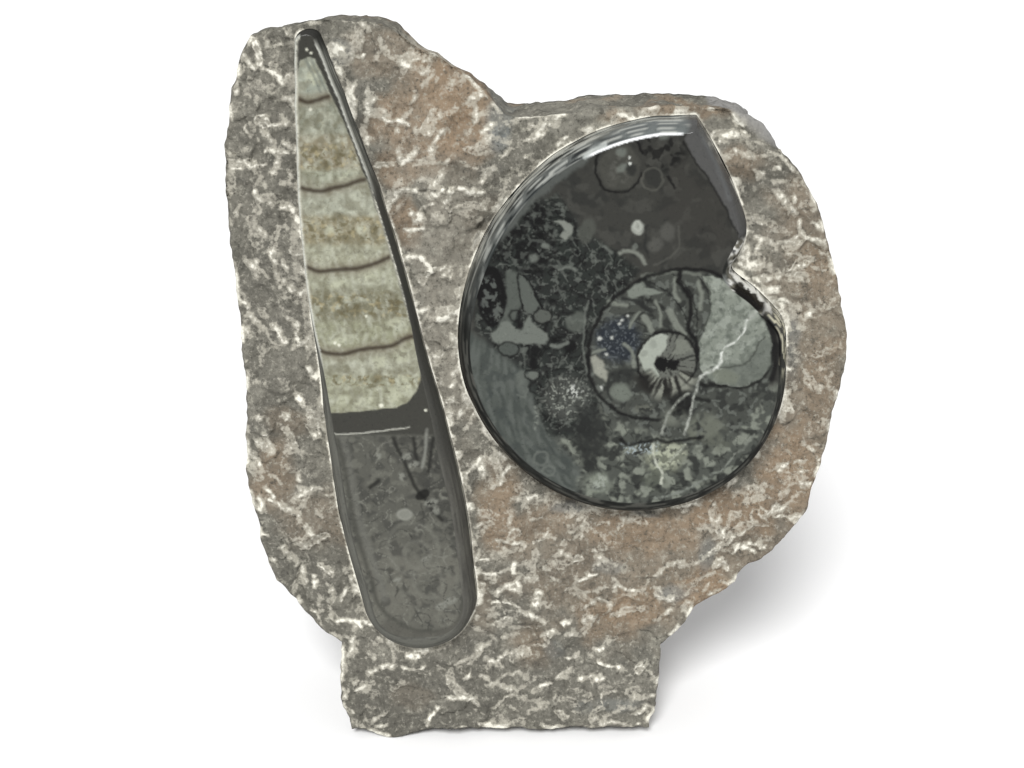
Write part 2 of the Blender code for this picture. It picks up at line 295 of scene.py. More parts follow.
class Mesh:
    """Vertices in mm with named float fields, and faces, collected before they become an object."""

    def __init__(self):
        self.points = []
        self.faces = []
        self.count = 0

    def add(self, points):
        """Add vertices and return their indices."""
        self.points.append(np.asarray(points, float))
        self.count += len(points)
        return np.arange(self.count - len(points), self.count)

    def bridge(self, lower, upper):
        """Two triangles between each pair of points of two rings of equal length."""
        a, b = np.roll(lower, 1), lower
        c, d = upper, np.roll(upper, 1)
        self.faces += np.column_stack([a, b, c]).tolist() + np.column_stack([a, c, d]).tolist()

    def sheet(self, loops, rings, inner, inner_index, flip=False):
        """Triangles inside the first loop and outside the others, through the inner points."""
        flat = np.vstack(loops + [inner])
        index = np.concatenate(rings + [inner_index])
        edges = []
        for loop in loops:
            start = len(edges)
            edges += [(start + i, start + (i + 1) % len(loop)) for i in range(len(loop))]
        result = delaunay_2d_cdt([Vector(p) for p in flat.tolist()], edges, [], 0, 1e-6)
        sources = np.array([s[0] for s in result[3]])
        triangles = sources[np.array(result[2])]
        centres = flat[triangles].mean(1)
        keep = signed_distance(centres, loops[0]) < 0
        for hole in loops[1:]:
            keep &= signed_distance(centres, hole) > 0
        rim_count = sum(len(loop) for loop in loops)
        keep |= (triangles >= rim_count).any(1)
        triangles = index[triangles[keep]]
        self.faces += (triangles[:, ::-1] if flip else triangles).tolist()

    def build(self, name, fields):
        mesh = bpy.data.meshes.new(name)
        points = np.vstack(self.points) * MM
        mesh.from_pydata(points.tolist(), [], self.faces)
        for field, values in fields.items():
            if np.ndim(values) == 2:
                layer = mesh.attributes.new(field, "FLOAT_COLOR", "POINT")
                layer.data.foreach_set("color", np.column_stack([values, np.ones(len(values))]).ravel())
            else:
                layer = mesh.attributes.new(field, "FLOAT", "POINT")
                layer.data.foreach_set("value", np.asarray(values, np.float32))
        mesh.shade_smooth()
        mesh.update()
        piece = bpy.data.objects.new(name, mesh)
        bpy.data.collections["fossil_plaque"].objects.link(piece)
        return piece


def lattice(loops, step, clearance=0.55):
    """Staggered, slightly shaken points inside the first loop, outside the others, clear of all."""
    low, high = loops[0].min(0), loops[0].max(0)
    rows = np.arange(low[1], high[1], step * 0.87)
    columns = np.arange(low[0], high[0], step)
    grid_u, grid_v = np.meshgrid(columns, rows)
    grid_u = grid_u + 0.5 * step * (np.arange(len(rows)) % 2)[:, None]
    points = np.column_stack([grid_u.ravel(), grid_v.ravel()])
    shake = np.random.default_rng(SEED).uniform(-0.15, 0.15, points.shape)
    points = points + shake * step
    keep = signed_distance(points, loops[0]) < -clearance * step
    points = points[keep]
    for hole in loops[1:]:
        points = points[signed_distance(points, hole) > clearance * step]
    return points


# ---------------------------------------------------------------- the chiselled face

CELL = 6.2               # mm between the hollows left by single blows
RIDGE_HEIGHT = 0.45      # of the rock left standing between two hollows
RIDGE_REACH = 1.8
TILT = 0.13              # spread of the hollows' slopes
TILT_SHARE = 0.7
WARP = 1.3               # how far the borders of the hollows wander
STROKE_SPACING = 5.7
STROKE_HEIGHT = 0.22
STROKE_HALVES = (0.6, 2.9)       # shortest half length and what chance adds to it at most
STROKE_WIDTHS = (0.5, 1.15)
STROKE_BRIGHTNESS = (0.45, 1.15)
STROKE_TURN = 0.55               # spread round the way the chisel was held
STROKE_BEND = 0.07
DOUBLE_STROKES = 0.3             # share of the strokes that have a darker middle
STROKE_WANDER = [(0.24, 1.5, 90), (0.17, 0.7, 96), (0.5, 3.4, 92)]     # reach, size, seed
SIDE_GRAIN = [(0.4, 2.8, 16), (0.2, 1.3, 17)]                          # height, size, seed
GRAIN_HEIGHTS = [(0.2, 2.6, 46), (0.14, 1.4, 43), (0.08, 0.8, 44)]     # height, size, seed
RIM_CALM = 2.2           # mm beside a fossil where the carving is shallow
EDGE_CALM = 1.6
CALM_SHARE = 0.15


def smooth_step(x, low, high):
    t = np.clip((x - low) / (high - low), 0, 1)
    return t * t * (3 - 2 * t)


def chisel_cells(uv, cell, seed):
    """Broken-up hollows: distance to the border with the next one, and height of the tilted hollow."""
    random = np.random.default_rng(seed)
    low, high = uv.min(0) - 2 * cell, uv.max(0) + 2 * cell
    columns, rows = np.arange(low[0], high[0], cell), np.arange(low[1], high[1], cell * 0.87)
    seeds = np.array([(u + 0.5 * cell * (k % 2), v) for k, v in enumerate(rows) for u in columns])
    seeds += random.uniform(-0.42, 0.42, seeds.shape) * cell
    tilts = random.normal(0, TILT, seeds.shape)
    warped = uv + WARP * np.column_stack([rough(uv, 5, seed + 20), rough(uv, 5, seed + 21)])
    tree = kdtree.KDTree(len(seeds))
    for i, (u, v) in enumerate(seeds.tolist()):
        tree.insert((u, v, 0), i)
    tree.balance()
    found = [tree.find_n((u, v, 0), 2) for u, v in warped.tolist()]
    first = np.array([f[0][1] for f in found])
    second = np.array([f[1][1] for f in found])
    d1 = np.linalg.norm(warped - seeds[first], axis=1)
    d2 = np.linalg.norm(warped - seeds[second], axis=1)
    border = (d2 ** 2 - d1 ** 2) / (2 * np.linalg.norm(seeds[first] - seeds[second], axis=1))
    return border, np.sum((warped - seeds[first]) * tilts[first], axis=1)


def stroke_lean(u, v):
    """The way the chisel was held: down to the right on the left, up to the right in the valley."""
    if u < -36 and v > 30:
        return -0.95
    if u < 8 and v > 70:
        return 0.55
    if u > 52 and v > 70:
        return -0.25
    return 0.1


def chisel_strokes(uv, seed):
    """Pale crushed marks left by single blows: short, bent and fuzzy, some with a darker middle."""
    random = np.random.default_rng(seed)
    wander = uv.copy()
    for reach, size, first in STROKE_WANDER:
        wander += reach * np.column_stack([rough(uv, size, first), rough(uv, size, first + 1)])
    mark = np.zeros(len(uv))
    low, high = uv.min(0), uv.max(0)
    for row in np.arange(low[1], high[1], STROKE_SPACING):
        for column in np.arange(low[0], high[0], STROKE_SPACING):
            centre = np.array([column, row]) + random.uniform(-0.5, 0.5, 2) * STROKE_SPACING
            angle = stroke_lean(*centre) + random.normal(0, STROKE_TURN)
            half = STROKE_HALVES[0] + STROKE_HALVES[1] * random.random() ** 1.6
            width = random.uniform(*STROKE_WIDTHS)
            bend = random.normal(0, STROKE_BEND)
            bright = random.uniform(*STROKE_BRIGHTNESS)
            double = random.random() < DOUBLE_STROKES
            calm = rough(centre[None], 15, 94)[0] < -0.4
            away = wander - centre
            near = np.hypot(away[:, 0], away[:, 1]) < half + 2.2
            if calm or not near.any():
                continue
            along = away[near, 0] * cos(angle) + away[near, 1] * sin(angle)
            across = away[near, 1] * cos(angle) - away[near, 0] * sin(angle) - bend * along ** 2
            distance = np.hypot(np.clip(abs(along) - half, 0, None), across)
            value = 1 - smooth_step(distance, 0.1 * width, 1.45 * width)
            if double:
                value = 0.55 * value + 0.6 * (1 - smooth_step(abs(distance - width), 0.1, 0.45))
            mark[near] = np.maximum(mark[near], bright * value)
    broken = 0.6 + 0.4 * smooth_step(rough(uv, 1.1, 95), -0.3, 0.25)
    return mark * broken


def chiselled(uv, outline, rims):
    """Height of the carved face in mm at each point, and how crushed and pale the rock is there."""
    base = LUMP_HEIGHT * rough(uv, 21, 1) + FACET_HEIGHT * rough(uv, 7.5, 2)
    border, tilted = chisel_cells(uv, CELL, 31)
    strokes = np.maximum(chisel_strokes(uv, 5), 0.8 * chisel_strokes(uv + (3.1, 2.3), 6))
    strokes *= 1 + 0.3 * blotches(uv, LIVELY)
    relief = RIDGE_HEIGHT * (1 - smooth_step(border, 0, RIDGE_REACH))
    relief += TILT_SHARE * tilted + STROKE_HEIGHT * strokes
    for height, size, seed in GRAIN_HEIGHTS:
        relief += height * rough(uv, size, seed)
    calm = np.ones(len(uv))
    for rim in rims:
        calm *= smooth_step(signed_distance(uv, rim), 0.0, RIM_CALM)
    calm *= smooth_step(-signed_distance(uv, outline), 0.0, EDGE_CALM)
    return base + relief * (CALM_SHARE + (1 - CALM_SHARE) * calm), strokes


def blotches(uv, spots, low=0.55, high=1.25, ragged=1.0):
    """Soft stains: each spot is (u, v, radius u, radius v, strength)."""
    value = np.zeros(len(uv))
    edge = ragged * (0.3 * rough(uv, 9, 60) + 0.2 * rough(uv, 4, 61))
    for u, v, ru, rv, strength in spots:
        distance = np.hypot((uv[:, 0] - u) / ru, (uv[:, 1] - v) / rv)
        value = np.maximum(value, strength * (1 - smooth_step(distance + edge, low, high)))
    return value


RUST = [(-14, 160, 16, 13, 1), (-24, 147, 6, 5, 0.8), (-21, 134, 4, 6, 0.8), (-24, 172, 12, 7, 0.4),
        (40, 50, 46, 22, 0.42), (74, 110, 12, 50, 0.4), (-10, 120, 10, 40, 0.2), (-44, 60, 12, 8, 0.35),
        (27, 158.5, 4, 2, 0.9), (44, 160, 12, 2.5, 0.7), (76, 122, 5, 10, 0.6), (78, 95, 6, 20, 0.6),
        (72, 72, 10, 14, 0.9), (58, 62, 15, 7, 1), (52, 42, 10, 7, 1), (32, 36, 10, 8, 0.9),
        (24, 34, 5, 8, 0.7), (36, 56, 18, 6, 0.8), (12, 58, 14, 6, 0.6), (0, 62, 6, 12, 0.8),
        (66, 108, 6, 20, 0.4), (57, 148, 5, 5, 0.5), (8, 25, 6, 6, 0.5), (-55, 72, 6, 10, 0.6),
        (-51, 85, 6, 4, 0.3), (-22, 12, 6, 4, 0.25), (-6, 40, 5, 10, 0.3)]
COOL = [(1, 157, 3.5, 6.5, 1), (18, 62.5, 5, 1.6, 0.7), (36, 62, 4, 1.4, 0.7), (52, 52, 2.4, 6, 0.6),
        (44, 40.5, 4, 2.5, 0.7), (28, 47, 4, 2, 0.5), (14, 25, 3, 3, 0.4), (30, 10, 8, 2.4, 0.5),
        (22, 9, 4, 3, 0.4), (-36, 173, 3, 3, 0.7), (70, 104, 3, 9, 0.6), (66, 156, 4, 4, 0.6)]
SHADE = [(-24, 12, 17, 14, 0.75), (4, 8, 16, 10, 0.3), (24, 18, 16, 14, 0.35), (-48, 42, 8, 10, 0.4),
         (-56, 158, 5, 12, 0.3), (2, 160, 4, 4, 0.5), (-29, 175, 3, 3, 0.5), (-31, 160, 2.4, 7, 0.5),
         (0, 12, 46, 18, 0.45), (-55, 120, 8, 44, 0.35), (-50, 60, 8, 26, 0.3), (4, 42, 26, 10, 0.3),
         (62, 58, 14, 12, 0.35)]
PALE = [(-12, 116, 9, 30, 0.8), (16, 158, 20, 4, 0.7), (-40, 174, 8, 4, 0.3), (62, 122, 8, 14, 0.4),
        (-20, 155, 8, 16, 0.3)]
CRUSHED = [(58, 126, 1.6, 2.6, 0.95), (60.4, 123.6, 2.2, 1.2, 0.95), (63, 120.4, 2.4, 1.2, 0.85),
           (65.4, 117.6, 2, 1.1, 0.85), (67.6, 114, 1.4, 1.6, 0.95), (68.8, 109, 0.8, 3.2, 0.85),
           (69.2, 100, 0.6, 6, 0.6), (69.6, 128.7, 2.6, 1.6, 0.6), (71.7, 120.5, 2.6, 1.8, 0.6),
           (71.3, 112, 2, 2.2, 0.6), (71.4, 100.9, 1.2, 1, 0.6), (-37, 173.8, 2, 1.6, 1),
           (-34.4, 171.4, 1.4, 1.6, 0.6), (-27.6, 159.6, 3.2, 1.2, 0.8), (-29.6, 163.4, 1, 3, 0.6),
           (-47, 128, 1.4, 9, 0.5), (-45.2, 110, 1.2, 9, 0.6)]
LIVELY = [(-12, 118, 12, 36, 1), (-50, 164, 12, 14, 0.8), (8, 49, 16, 12, 1), (18, 157, 24, 5, 0.5)]
SCUFFED_SIDE = [(-12, 171, 13, 6, 0.5), (-40, 182, 14, 3, 0.3)]
FRESH_BREAK = [(60, 156, 8, 10, 1), (69, 145, 5, 12, 0.8)]


def build_slab(rims):
    mesh = Mesh()
    outline = slab_outline()
    edge = face_edge(outline)
    normals = loop_normals(outline)
    normals3 = np.column_stack([normals[:, 0], np.zeros(len(outline)), normals[:, 1]])
    free = (outline[:, 1] > 0.01)[:, None]
    back_edge = dented(outline, SHOULDER, SHOULDER_REACH, SHOULDER_CUT)
    flat_face, flat_back = face_points(outline), back_points(back_edge)
    rings = []
    for depth in 1 - 0.97 * np.linspace(0, 1, SIDE_RINGS):
        place = flat_face + (flat_back - flat_face) * depth
        push = SIDE_LUMP * (rough(place, 13, 7) + 0.5 * rough(place, 6, 8) - 0.8) * sin(pi * depth)
        fade = min(1, (1 - depth) / 0.08, depth / 0.08)
        fine = sum(height * rough(place, size, seed) for height, size, seed in SIDE_GRAIN)
        place = place + normals3 * (push + fine * fade)[:, None] * free
        place[:, 2] = np.maximum(place[:, 2], 0)
        place[:, 2] += foot_chip(outline) * max(0, 1 - depth / FOOT_CHIP_DEPTH)
        rings.append(mesh.add(place))
    front = mesh.add(face_points(edge, 0.15 * rough(edge, 1.5, 18)))
    rings.append(front)
    for back, ahead in zip(rings, rings[1:]):
        mesh.bridge(back, ahead)

    inner = lattice([edge] + rims, FACE_FINE)
    on_face = np.vstack([inner] + rims)
    height, bruise = chiselled(on_face, edge, rims)
    rim_start = len(inner)
    face_index = mesh.add(face_points(inner, height[:rim_start]))
    rim_index = []
    for rim in rims:
        rim_index.append(mesh.add(face_points(rim, height[rim_start:rim_start + len(rim)])))
        rim_start += len(rim)
    mesh.sheet([edge] + rims, [front] + rim_index, inner, face_index)

    behind = lattice([back_edge], BACK_FINE)
    lumps = SIDE_LUMP * rough(behind, 17, 6) + 0.3 * rough(behind, 4, 19)
    behind_index = mesh.add(back_points(behind) + np.column_stack([0 * lumps, lumps, 0 * lumps]))
    mesh.sheet([back_edge], [rings[0]], behind, behind_index, flip=True)

    for rim, top in zip(rims, rim_index):
        floor = mesh.add(face_points(rim, -ROOT_DEPTH - SEAT_GAP))
        mesh.bridge(floor, top)
        mesh.sheet([rim], [floor], np.empty((0, 2)), np.empty(0, int))

    places = np.vstack(mesh.points)
    uv = np.column_stack([places[:, 0], places[:, 2] / cos(FACE_LEAN)])
    total = len(places)
    bruised = np.zeros(total)
    bruised[face_index] = bruise[:len(inner)]
    near_rim = np.full(total, 9.0)
    near_rim[face_index] = np.minimum(signed_distance(inner, rims[0]), signed_distance(inner, rims[1]))
    for index in rim_index:
        near_rim[index] = 0
    near_edge = np.full(total, 9.0)
    near_edge[face_index] = -signed_distance(inner, edge)
    near_edge[front] = 0
    edge_chips = smooth_step(rough(uv, 4.5, 70), 0.0, 0.45)
    bruised = np.maximum(bruised, 0.9 * (1 - smooth_step(near_edge, 0.3, 1.4)) * edge_chips)
    scraped = 0.5 + 0.7 * smooth_step(rough(uv, 5, 71), -0.3, 0.3)
    scraped *= 1 - smooth_step(uv[:, 1], 143, 149) * (uv[:, 0] > -43.5) * (uv[:, 0] < -28)
    bruised = np.maximum(bruised, scraped * (1 - smooth_step(near_rim, 0.2, 0.7)))
    crumbled = smooth_step(rough(uv, 3.2, 72), 0.05, 0.4) * smooth_step(rough(uv, 14, 73), -0.4, 0.2)
    bruised = np.maximum(bruised, 0.75 * crumbled * (1 - smooth_step(near_rim, 1.2, 2.6)))
    on_side = np.zeros(total)
    on_side[:rings[-2][-1] + 1] = 1
    in_front = np.zeros(total)
    in_front[face_index] = 1
    behind_face = places[:, 1] + FOOT_DEPTH / 2 - uv[:, 1] * sin(FACE_LEAN)
    astray = 9 * smooth_step(behind_face, 2, 14)[:, None]
    stained = uv + astray * np.column_stack([rough(places, 12, 75), rough(places, 12, 76)])
    patchy = 0.55 + 0.45 * smooth_step(rough(uv, 1.2, 74), -0.3, 0.3)
    crushed = blotches(uv, CRUSHED, 0.7, 1.3, 0.6) * patchy
    bruised = np.maximum(bruised, crushed * in_front)
    bruised = np.maximum(bruised, on_side * blotches(uv, SCUFFED_SIDE))
    fresh = on_side * blotches(stained, FRESH_BREAK, 0.9, 1.15, 0.3)
    fields = {"bruise": bruised * (1 - fresh), "fresh": fresh}
    for name, spots in (("rust", RUST), ("cool", COOL), ("shade", SHADE), ("pale", PALE)):
        fields[name] = blotches(stained, spots)
    return mesh.build("chiselled_slab", fields)


# ---------------------------------------------------------------- the polished shells

def build_shell(name, outline, runs, relief, paint):
    """A fossil with its root in the rock, a rounded side and a polished top, coloured by paint."""
    mesh = Mesh()
    heights, shares = zip(*SIDE_PROFILE)
    profile = [(h * relief, np.interp(h, heights, shares)) for h in np.linspace(0, 0.93, 14)]
    profile += [(0.965 * relief, 0.86), (0.99 * relief, 0.955), (relief, 1.03)]
    rings = [mesh.add(face_points(outline, -ROOT_DEPTH))]
    plan = [outline]
    for height, share in profile:
        loop = offset_loop(outline, -runs * share)
        plan.append(loop)
        rings.append(mesh.add(face_points(loop, height)))
    for lower, upper in zip(rings, rings[1:]):
        mesh.bridge(lower, upper)
    mesh.sheet([outline], [rings[0]], np.empty((0, 2)), np.empty(0, int), flip=True)
    top = plan[-1]
    inner = lattice([top], POLISH_FINE)
    mesh.sheet([top], [rings[-1]], inner, mesh.add(face_points(inner, relief)))
    uv = np.vstack(plan + [inner])
    bevel = np.zeros(len(uv))
    bevel[:len(outline) * (len(plan) - 1)] = 1
    upward = np.zeros(len(uv))
    upward[:len(outline) * len(plan)] = np.tile(loop_normals(outline)[:, 1], len(plan))
    outer = -signed_distance(uv, outline)
    climb = outer.copy()
    climb[:len(outline) * len(plan)] += np.repeat([0] + [height for height, _ in profile], len(outline))
    return mesh.build(name, paint(uv, {
        "edge": signed_distance(uv, top),     # mm out from the edge of the polished top
        "outer": outer,                       # mm in from the outline
        "climb": climb,                       # mm in from the outline and up the side together
        "bevel": bevel,                       # 1 on the side, 0 on the polished top
        "upward": upward,                     # 1 where the side faces up, -1 where it faces down
    }))


# ---------------------------------------------------------------- painting the polished stone

POLISH_SHINE = 0.013          # light that the polish itself sends back, taken off every colour seen
FACE_LIGHT = 1.28             # how brightly the studio shows a matt colour on the face


# greys of the goniatite as they are seen, 0-255
SMOKE, SLATE, SOOT, INK = (61, 61, 58), (79, 83, 79), (46, 47, 46), (30, 31, 32)
ASH, PALE_GREY, BONE, CHALK = (106, 110, 104), (130, 134, 126), (160, 164, 154), (206, 209, 202)


def tone(colour):
    """Base colour of stone that is seen as this 0-255 colour in the studio."""
    seen = [((c / 255 + 0.055) / 1.055) ** 2.4 for c in colour]
    return tuple(max(0.0015, (s - POLISH_SHINE) / FACE_LIGHT) for s in seen)


class Canvas:
    """Colours, 0-255 as seen, laid one over another on a polished face; shapes are in mm on that face."""

    def __init__(self, uv, ground, wobble=1.0):
        shake = np.column_stack([rough(uv, 2.6, 80), rough(uv, 2.6, 81)])
        ripple = np.column_stack([rough(uv, 0.9, 82), rough(uv, 0.9, 83)])
        self.uv = uv + wobble * (0.26 * shake + 0.13 * ripple)
        self.colour = np.tile(tone(ground), (len(uv), 1))

    def lay(self, colour, mask, share=1.0):
        self.colour += (np.array(tone(colour)) - self.colour) * np.clip(share * mask, 0, 1)[:, None]

    def each(self, shape, *layers, within=1):
        """Lay one shape after another; each layer is a colour, its share and the shape's own values."""
        for colour, share, *values in layers:
            self.lay(colour, within * shape(*values), share)

    def oval_distance(self, u, v, ru, rv, turn=0.0):
        away = self.uv - (u, v)
        along = (away[:, 0] * cos(turn) + away[:, 1] * sin(turn)) / ru
        across = (away[:, 1] * cos(turn) - away[:, 0] * sin(turn)) / rv
        reach = np.maximum(np.hypot(along, across), 1e-6)
        return (reach - 1) * np.linalg.norm(away, axis=1) / reach

    def oval(self, u, v, ru, rv, turn=0.0, soft=0.3):
        return 1 - smooth_step(self.oval_distance(u, v, ru, rv, turn), -soft, soft)

    def ring(self, u, v, ru, rv, width=0.6, turn=0.0, soft=0.25):
        distance = abs(self.oval_distance(u, v, ru, rv, turn))
        return 1 - smooth_step(distance, max(0, width / 2 - soft), width / 2 + soft)

    def path_distance(self, path, reach=4.0):
        """Distance to a path of points, worked out where it is under the reach."""
        distance = np.full(len(self.uv), reach)
        near = np.all((self.uv > path.min(0) - reach) & (self.uv < path.max(0) + reach), axis=1)
        points = self.uv[near]
        best = np.full(len(points), reach)
        for start, end in zip(path, path[1:]):
            along = end - start
            share = np.clip((points - start) @ along / max(along @ along, 1e-9), 0, 1)
            best = np.minimum(best, np.linalg.norm(points - start - share[:, None] * along, axis=1))
        distance[near] = best
        return distance

    def line(self, points, width=0.6, soft=0.25):
        path = np.array(smooth_run(points, 1.0) + [points[-1]], float)
        distance = self.path_distance(path)
        return 1 - smooth_step(distance, max(0, width / 2 - soft), width / 2 + soft)

    def patch(self, corners, soft=0.4):
        """Share covered by a soft-edged patch with these corners."""
        path = np.array(list(corners) + [corners[0]], float)
        inside = np.zeros(len(self.uv), bool)
        u, v = self.uv[:, 0], self.uv[:, 1]
        for (u1, v1), (u2, v2) in zip(path, path[1:]):
            if v1 != v2:
                inside ^= ((v1 > v) != (v2 > v)) & (u < u1 + (v - v1) / (v2 - v1) * (u2 - u1))
        distance = self.path_distance(path)
        return 1 - smooth_step(np.where(inside, -distance, distance), -soft, soft)

    def clouds(self, size, seed, low=-0.2, high=0.4):
        """Soft clouds of the given size, where noise of about -1 to 1 passes from low to high."""
        value = 0.85 * rough(self.uv, size, seed) + 0.5 * rough(self.uv, 0.42 * size, seed + 500)
        return smooth_step(value, low, high)

    def veins(self, size, seed, width=0.12):
        """Winding lines, like the outlines of torn and curled shells."""
        return 1 - smooth_step(abs(rough(self.uv, size, seed)), 0.3 * width, width)


def paint_ortho(uv, sides):
    """The straight shell: calcite chambers between dark walls, and a grey living chamber below."""
    edge, climb, bevel, upward = (sides[value] for value in ("edge", "climb", "bevel", "upward"))
    c = Canvas(uv, (66, 66, 62), 0.4)
    u, v = c.uv[:, 0], c.uv[:, 1]

    # living chamber
    c.lay((88, 88, 82), 1 - smooth_step(v, 83.6, 84.6))
    c.lay((108, 107, 99), (1 - smooth_step(v, 50, 62)) * c.clouds(7, 126, -1.2, 0.2), 0.7)
    low = 1 - smooth_step(v, 83.2, 84.2)
    c.each(c.clouds,
           ((68, 68, 65), 0.65, 3.4, 101, 0.0, 0.5),
           ((108, 108, 100), 0.55, 2.2, 102, 0.1, 0.6),
           within=low)
    c.lay((62, 62, 59), low * c.veins(4.2, 103, 0.08) * c.clouds(9, 104, -0.3, 0.2), 0.7)
    c.lay((120, 120, 112), low * c.veins(3.2, 105, 0.06) * c.clouds(8, 106, -0.3, 0.2), 0.7)
    c.lay((76, 75, 70), low * c.patch([(-16, 84), (-11.5, 84), (-9.5, 70), (-8, 54), (-8.5, 42), (-6, 38),
            (-4, 48), (-8, 80), (-9, 86)], 1.0), 0.85)
    c.lay((64, 64, 61), low * c.patch([(-25, 84.5), (-8, 84.5), (-7, 60), (-10, 52), (-13, 61), (-17.5, 68),
            (-22, 77)], 1.2) * c.clouds(2.4, 108, -0.5, 0.2), 0.75)
    c.each(c.line,
           ((106, 106, 100), 0.55, [(-37, 83.5), (-35.6, 78), (-34.6, 70), (-33.2, 62), (-31, 54),
                   (-28.6, 46), (-27.6, 42)], 1.5, 0.8),
           ((74, 74, 69), 0.8, [(-38.2, 83.5), (-36.8, 77), (-35.8, 70), (-34.6, 62), (-32.8, 54),
                   (-30.6, 46), (-29.5, 41), (-26, 36.8), (-20, 33.6), (-13, 33.6), (-9.5, 36.5),
                   (-8.3, 41)], 0.9, 0.6),
           within=low)
    for path, width in (([(-25, 84.5), (-24, 81), (-22.5, 78), (-21, 74), (-19.5, 70.5), (-17, 67.5),
            (-15.5, 65), (-13.5, 62.5)], 0.9), ([(-20, 84), (-19.6, 80), (-18.8, 76.5)], 0.7),
            ([(-15.2, 86), (-15.6, 81), (-16.5, 75)], 0.8), ([(-30.5, 71), (-28.5, 72.5)], 1.1)):
        c.lay((46, 46, 44), low * c.line(path, width, 0.4), 0.9)
    c.lay((36, 36, 35), c.oval(-18, 69, 1.9, 1.2, 0.5), 0.9)
    c.lay((128, 129, 122), c.line([(-16.7, 85.5), (-17.2, 80), (-18, 76)], 0.7, 0.35), 0.8)
    for spot in ((-21.6, 78.6, 1.3, 0.9), (-20, 76.6, 1.4, 0.8), (-22.9, 73.6, 0.8, 1.1),
            (-16, 67, 1.7, 1.0), (-14.8, 65, 0.9, 1.1), (-13.8, 40, 1.4, 1.0), (-17.3, 52.5, 1.3, 0.6),
            (-11.5, 41.5, 1.6, 1.0), (-28.6, 78.6, 0.9, 0.7), (-24.5, 47, 1.0, 0.5)):
        c.lay((130, 131, 123), c.oval(*spot, 0.4, 0.45) * c.clouds(0.9, 109, -0.6, 0.1), 0.75)
    c.lay((128, 129, 121), c.oval(-22.4, 63.9, 2.0, 1.5, 0, 0.35), 0.85)
    c.lay((138, 138, 130), c.ring(-22.4, 63.9, 1.5, 1.1, 0.3), 0.5)
    for u0, v0, ru, rv in ((-20.5, 55, 6, 7), (-19.5, 53.5, 3.2, 3.6), (-17, 46.5, 3.5, 4.5)):
        c.lay((116, 116, 108), c.ring(u0, v0, ru, rv, 0.7, 0.3, 0.5), 0.35)
    c.lay((88, 87, 81), c.patch([(-27, 37), (-22, 33.5), (-15, 33), (-10, 36), (-8, 41), (-3, 42), (-6, 32),
            (-19, 27), (-30, 33)], 0.9), 0.8)

    # dark wall between the chambers and the living chamber, with a fine white line under it
    c.lay((66, 65, 61), smooth_step(v, 84.3, 84.9) * c.clouds(5, 107, -1.5, 0.2), 0.5)
    c.lay((172, 172, 162), c.line([(-38.6, 84.2), (-33, 84.5), (-28, 85), (-24, 85.5), (-21, 86)], 0.32,
            0.2), 0.85)

    # calcite
    calcite = c.patch([(-43.9, 171.8), (-42, 172.6), (-40.6, 172.2), (-37.4, 164.6), (-35.2, 159.4),
            (-32.4, 152.6), (-30.9, 147.6), (-29.6, 144.6), (-27.9, 138.8), (-25.9, 132.6), (-24.3, 126.4),
            (-22.4, 119), (-20.6, 112.6), (-19.2, 108), (-17.9, 102.6), (-18.3, 97.4), (-19.2, 94.8),
            (-21.2, 92.2), (-24, 91), (-28, 90.5), (-33, 90), (-38.6, 89.6), (-41.6, 89.8), (-43.4, 99),
            (-44.8, 110), (-45.6, 124), (-46, 140), (-45.9, 154), (-45.3, 165)], 0.28)
    c.lay((146, 145, 129), calcite)
    for v0, v1, colour, share in ((164.5, 173, (146, 151, 139), 0.9), (155, 164, (126, 129, 116), 0.8),
            (147, 155.5, (132, 124, 104), 0.85), (143, 147.5, (152, 155, 138), 0.9),
            (136.5, 143, (158, 160, 145), 0.9), (129.5, 137, (140, 133, 110), 0.85),
            (125, 130, (154, 154, 134), 0.9), (119, 125, (152, 153, 134), 0.9),
            (111.5, 119.5, (120, 118, 99), 0.85), (105, 111.8, (142, 143, 121), 0.95),
            (99, 105.5, (144, 144, 127), 0.8), (89, 99, (148, 149, 128), 0.85)):
        band = smooth_step(v, v0 - 0.9, v0 + 0.9) * (1 - smooth_step(v, v1 - 0.9, v1 + 0.9))
        c.lay(colour, calcite * band, share)
    c.lay((180, 182, 165), calcite * c.clouds(3.4, 110, 0.0, 0.6), 0.45)
    wisps = rough(np.column_stack([u * 0.9 + 0.12 * v, v * 0.34]), 1.0, 127)
    c.lay((186, 188, 174), calcite * smooth_step(wisps, 0.1, 0.55), 0.32)
    c.lay((104, 101, 86), calcite * smooth_step(wisps, -0.15, -0.6), 0.28)
    c.each(c.clouds,
           ((178, 179, 162), 0.25, 1.1, 118, 0.05, 0.5),
           ((112, 110, 94), 0.3, 1.3, 119, 0.1, 0.5),
           ((108, 105, 88), 0.5, 3.2, 111, 0.0, 0.6),
           within=calcite)
    c.lay((108, 104, 84), calcite * c.veins(2.2, 112, 0.07) * c.clouds(6, 113, -0.1, 0.3), 0.4)
    for v0, half, seed in ((150.5, 3.6, 114), (133.6, 3.4, 115), (115.8, 3.4, 116), (97.6, 1.6, 117)):
        middle = 1 - smooth_step(abs(v - v0), half * 0.6, half)
        c.lay((104, 97, 74), calcite * middle * c.clouds(1.5, seed, 0.12, 0.5), 0.75)
        c.lay((168, 158, 126), calcite * middle * c.clouds(1.7, seed + 20, 0.25, 0.6), 0.55)
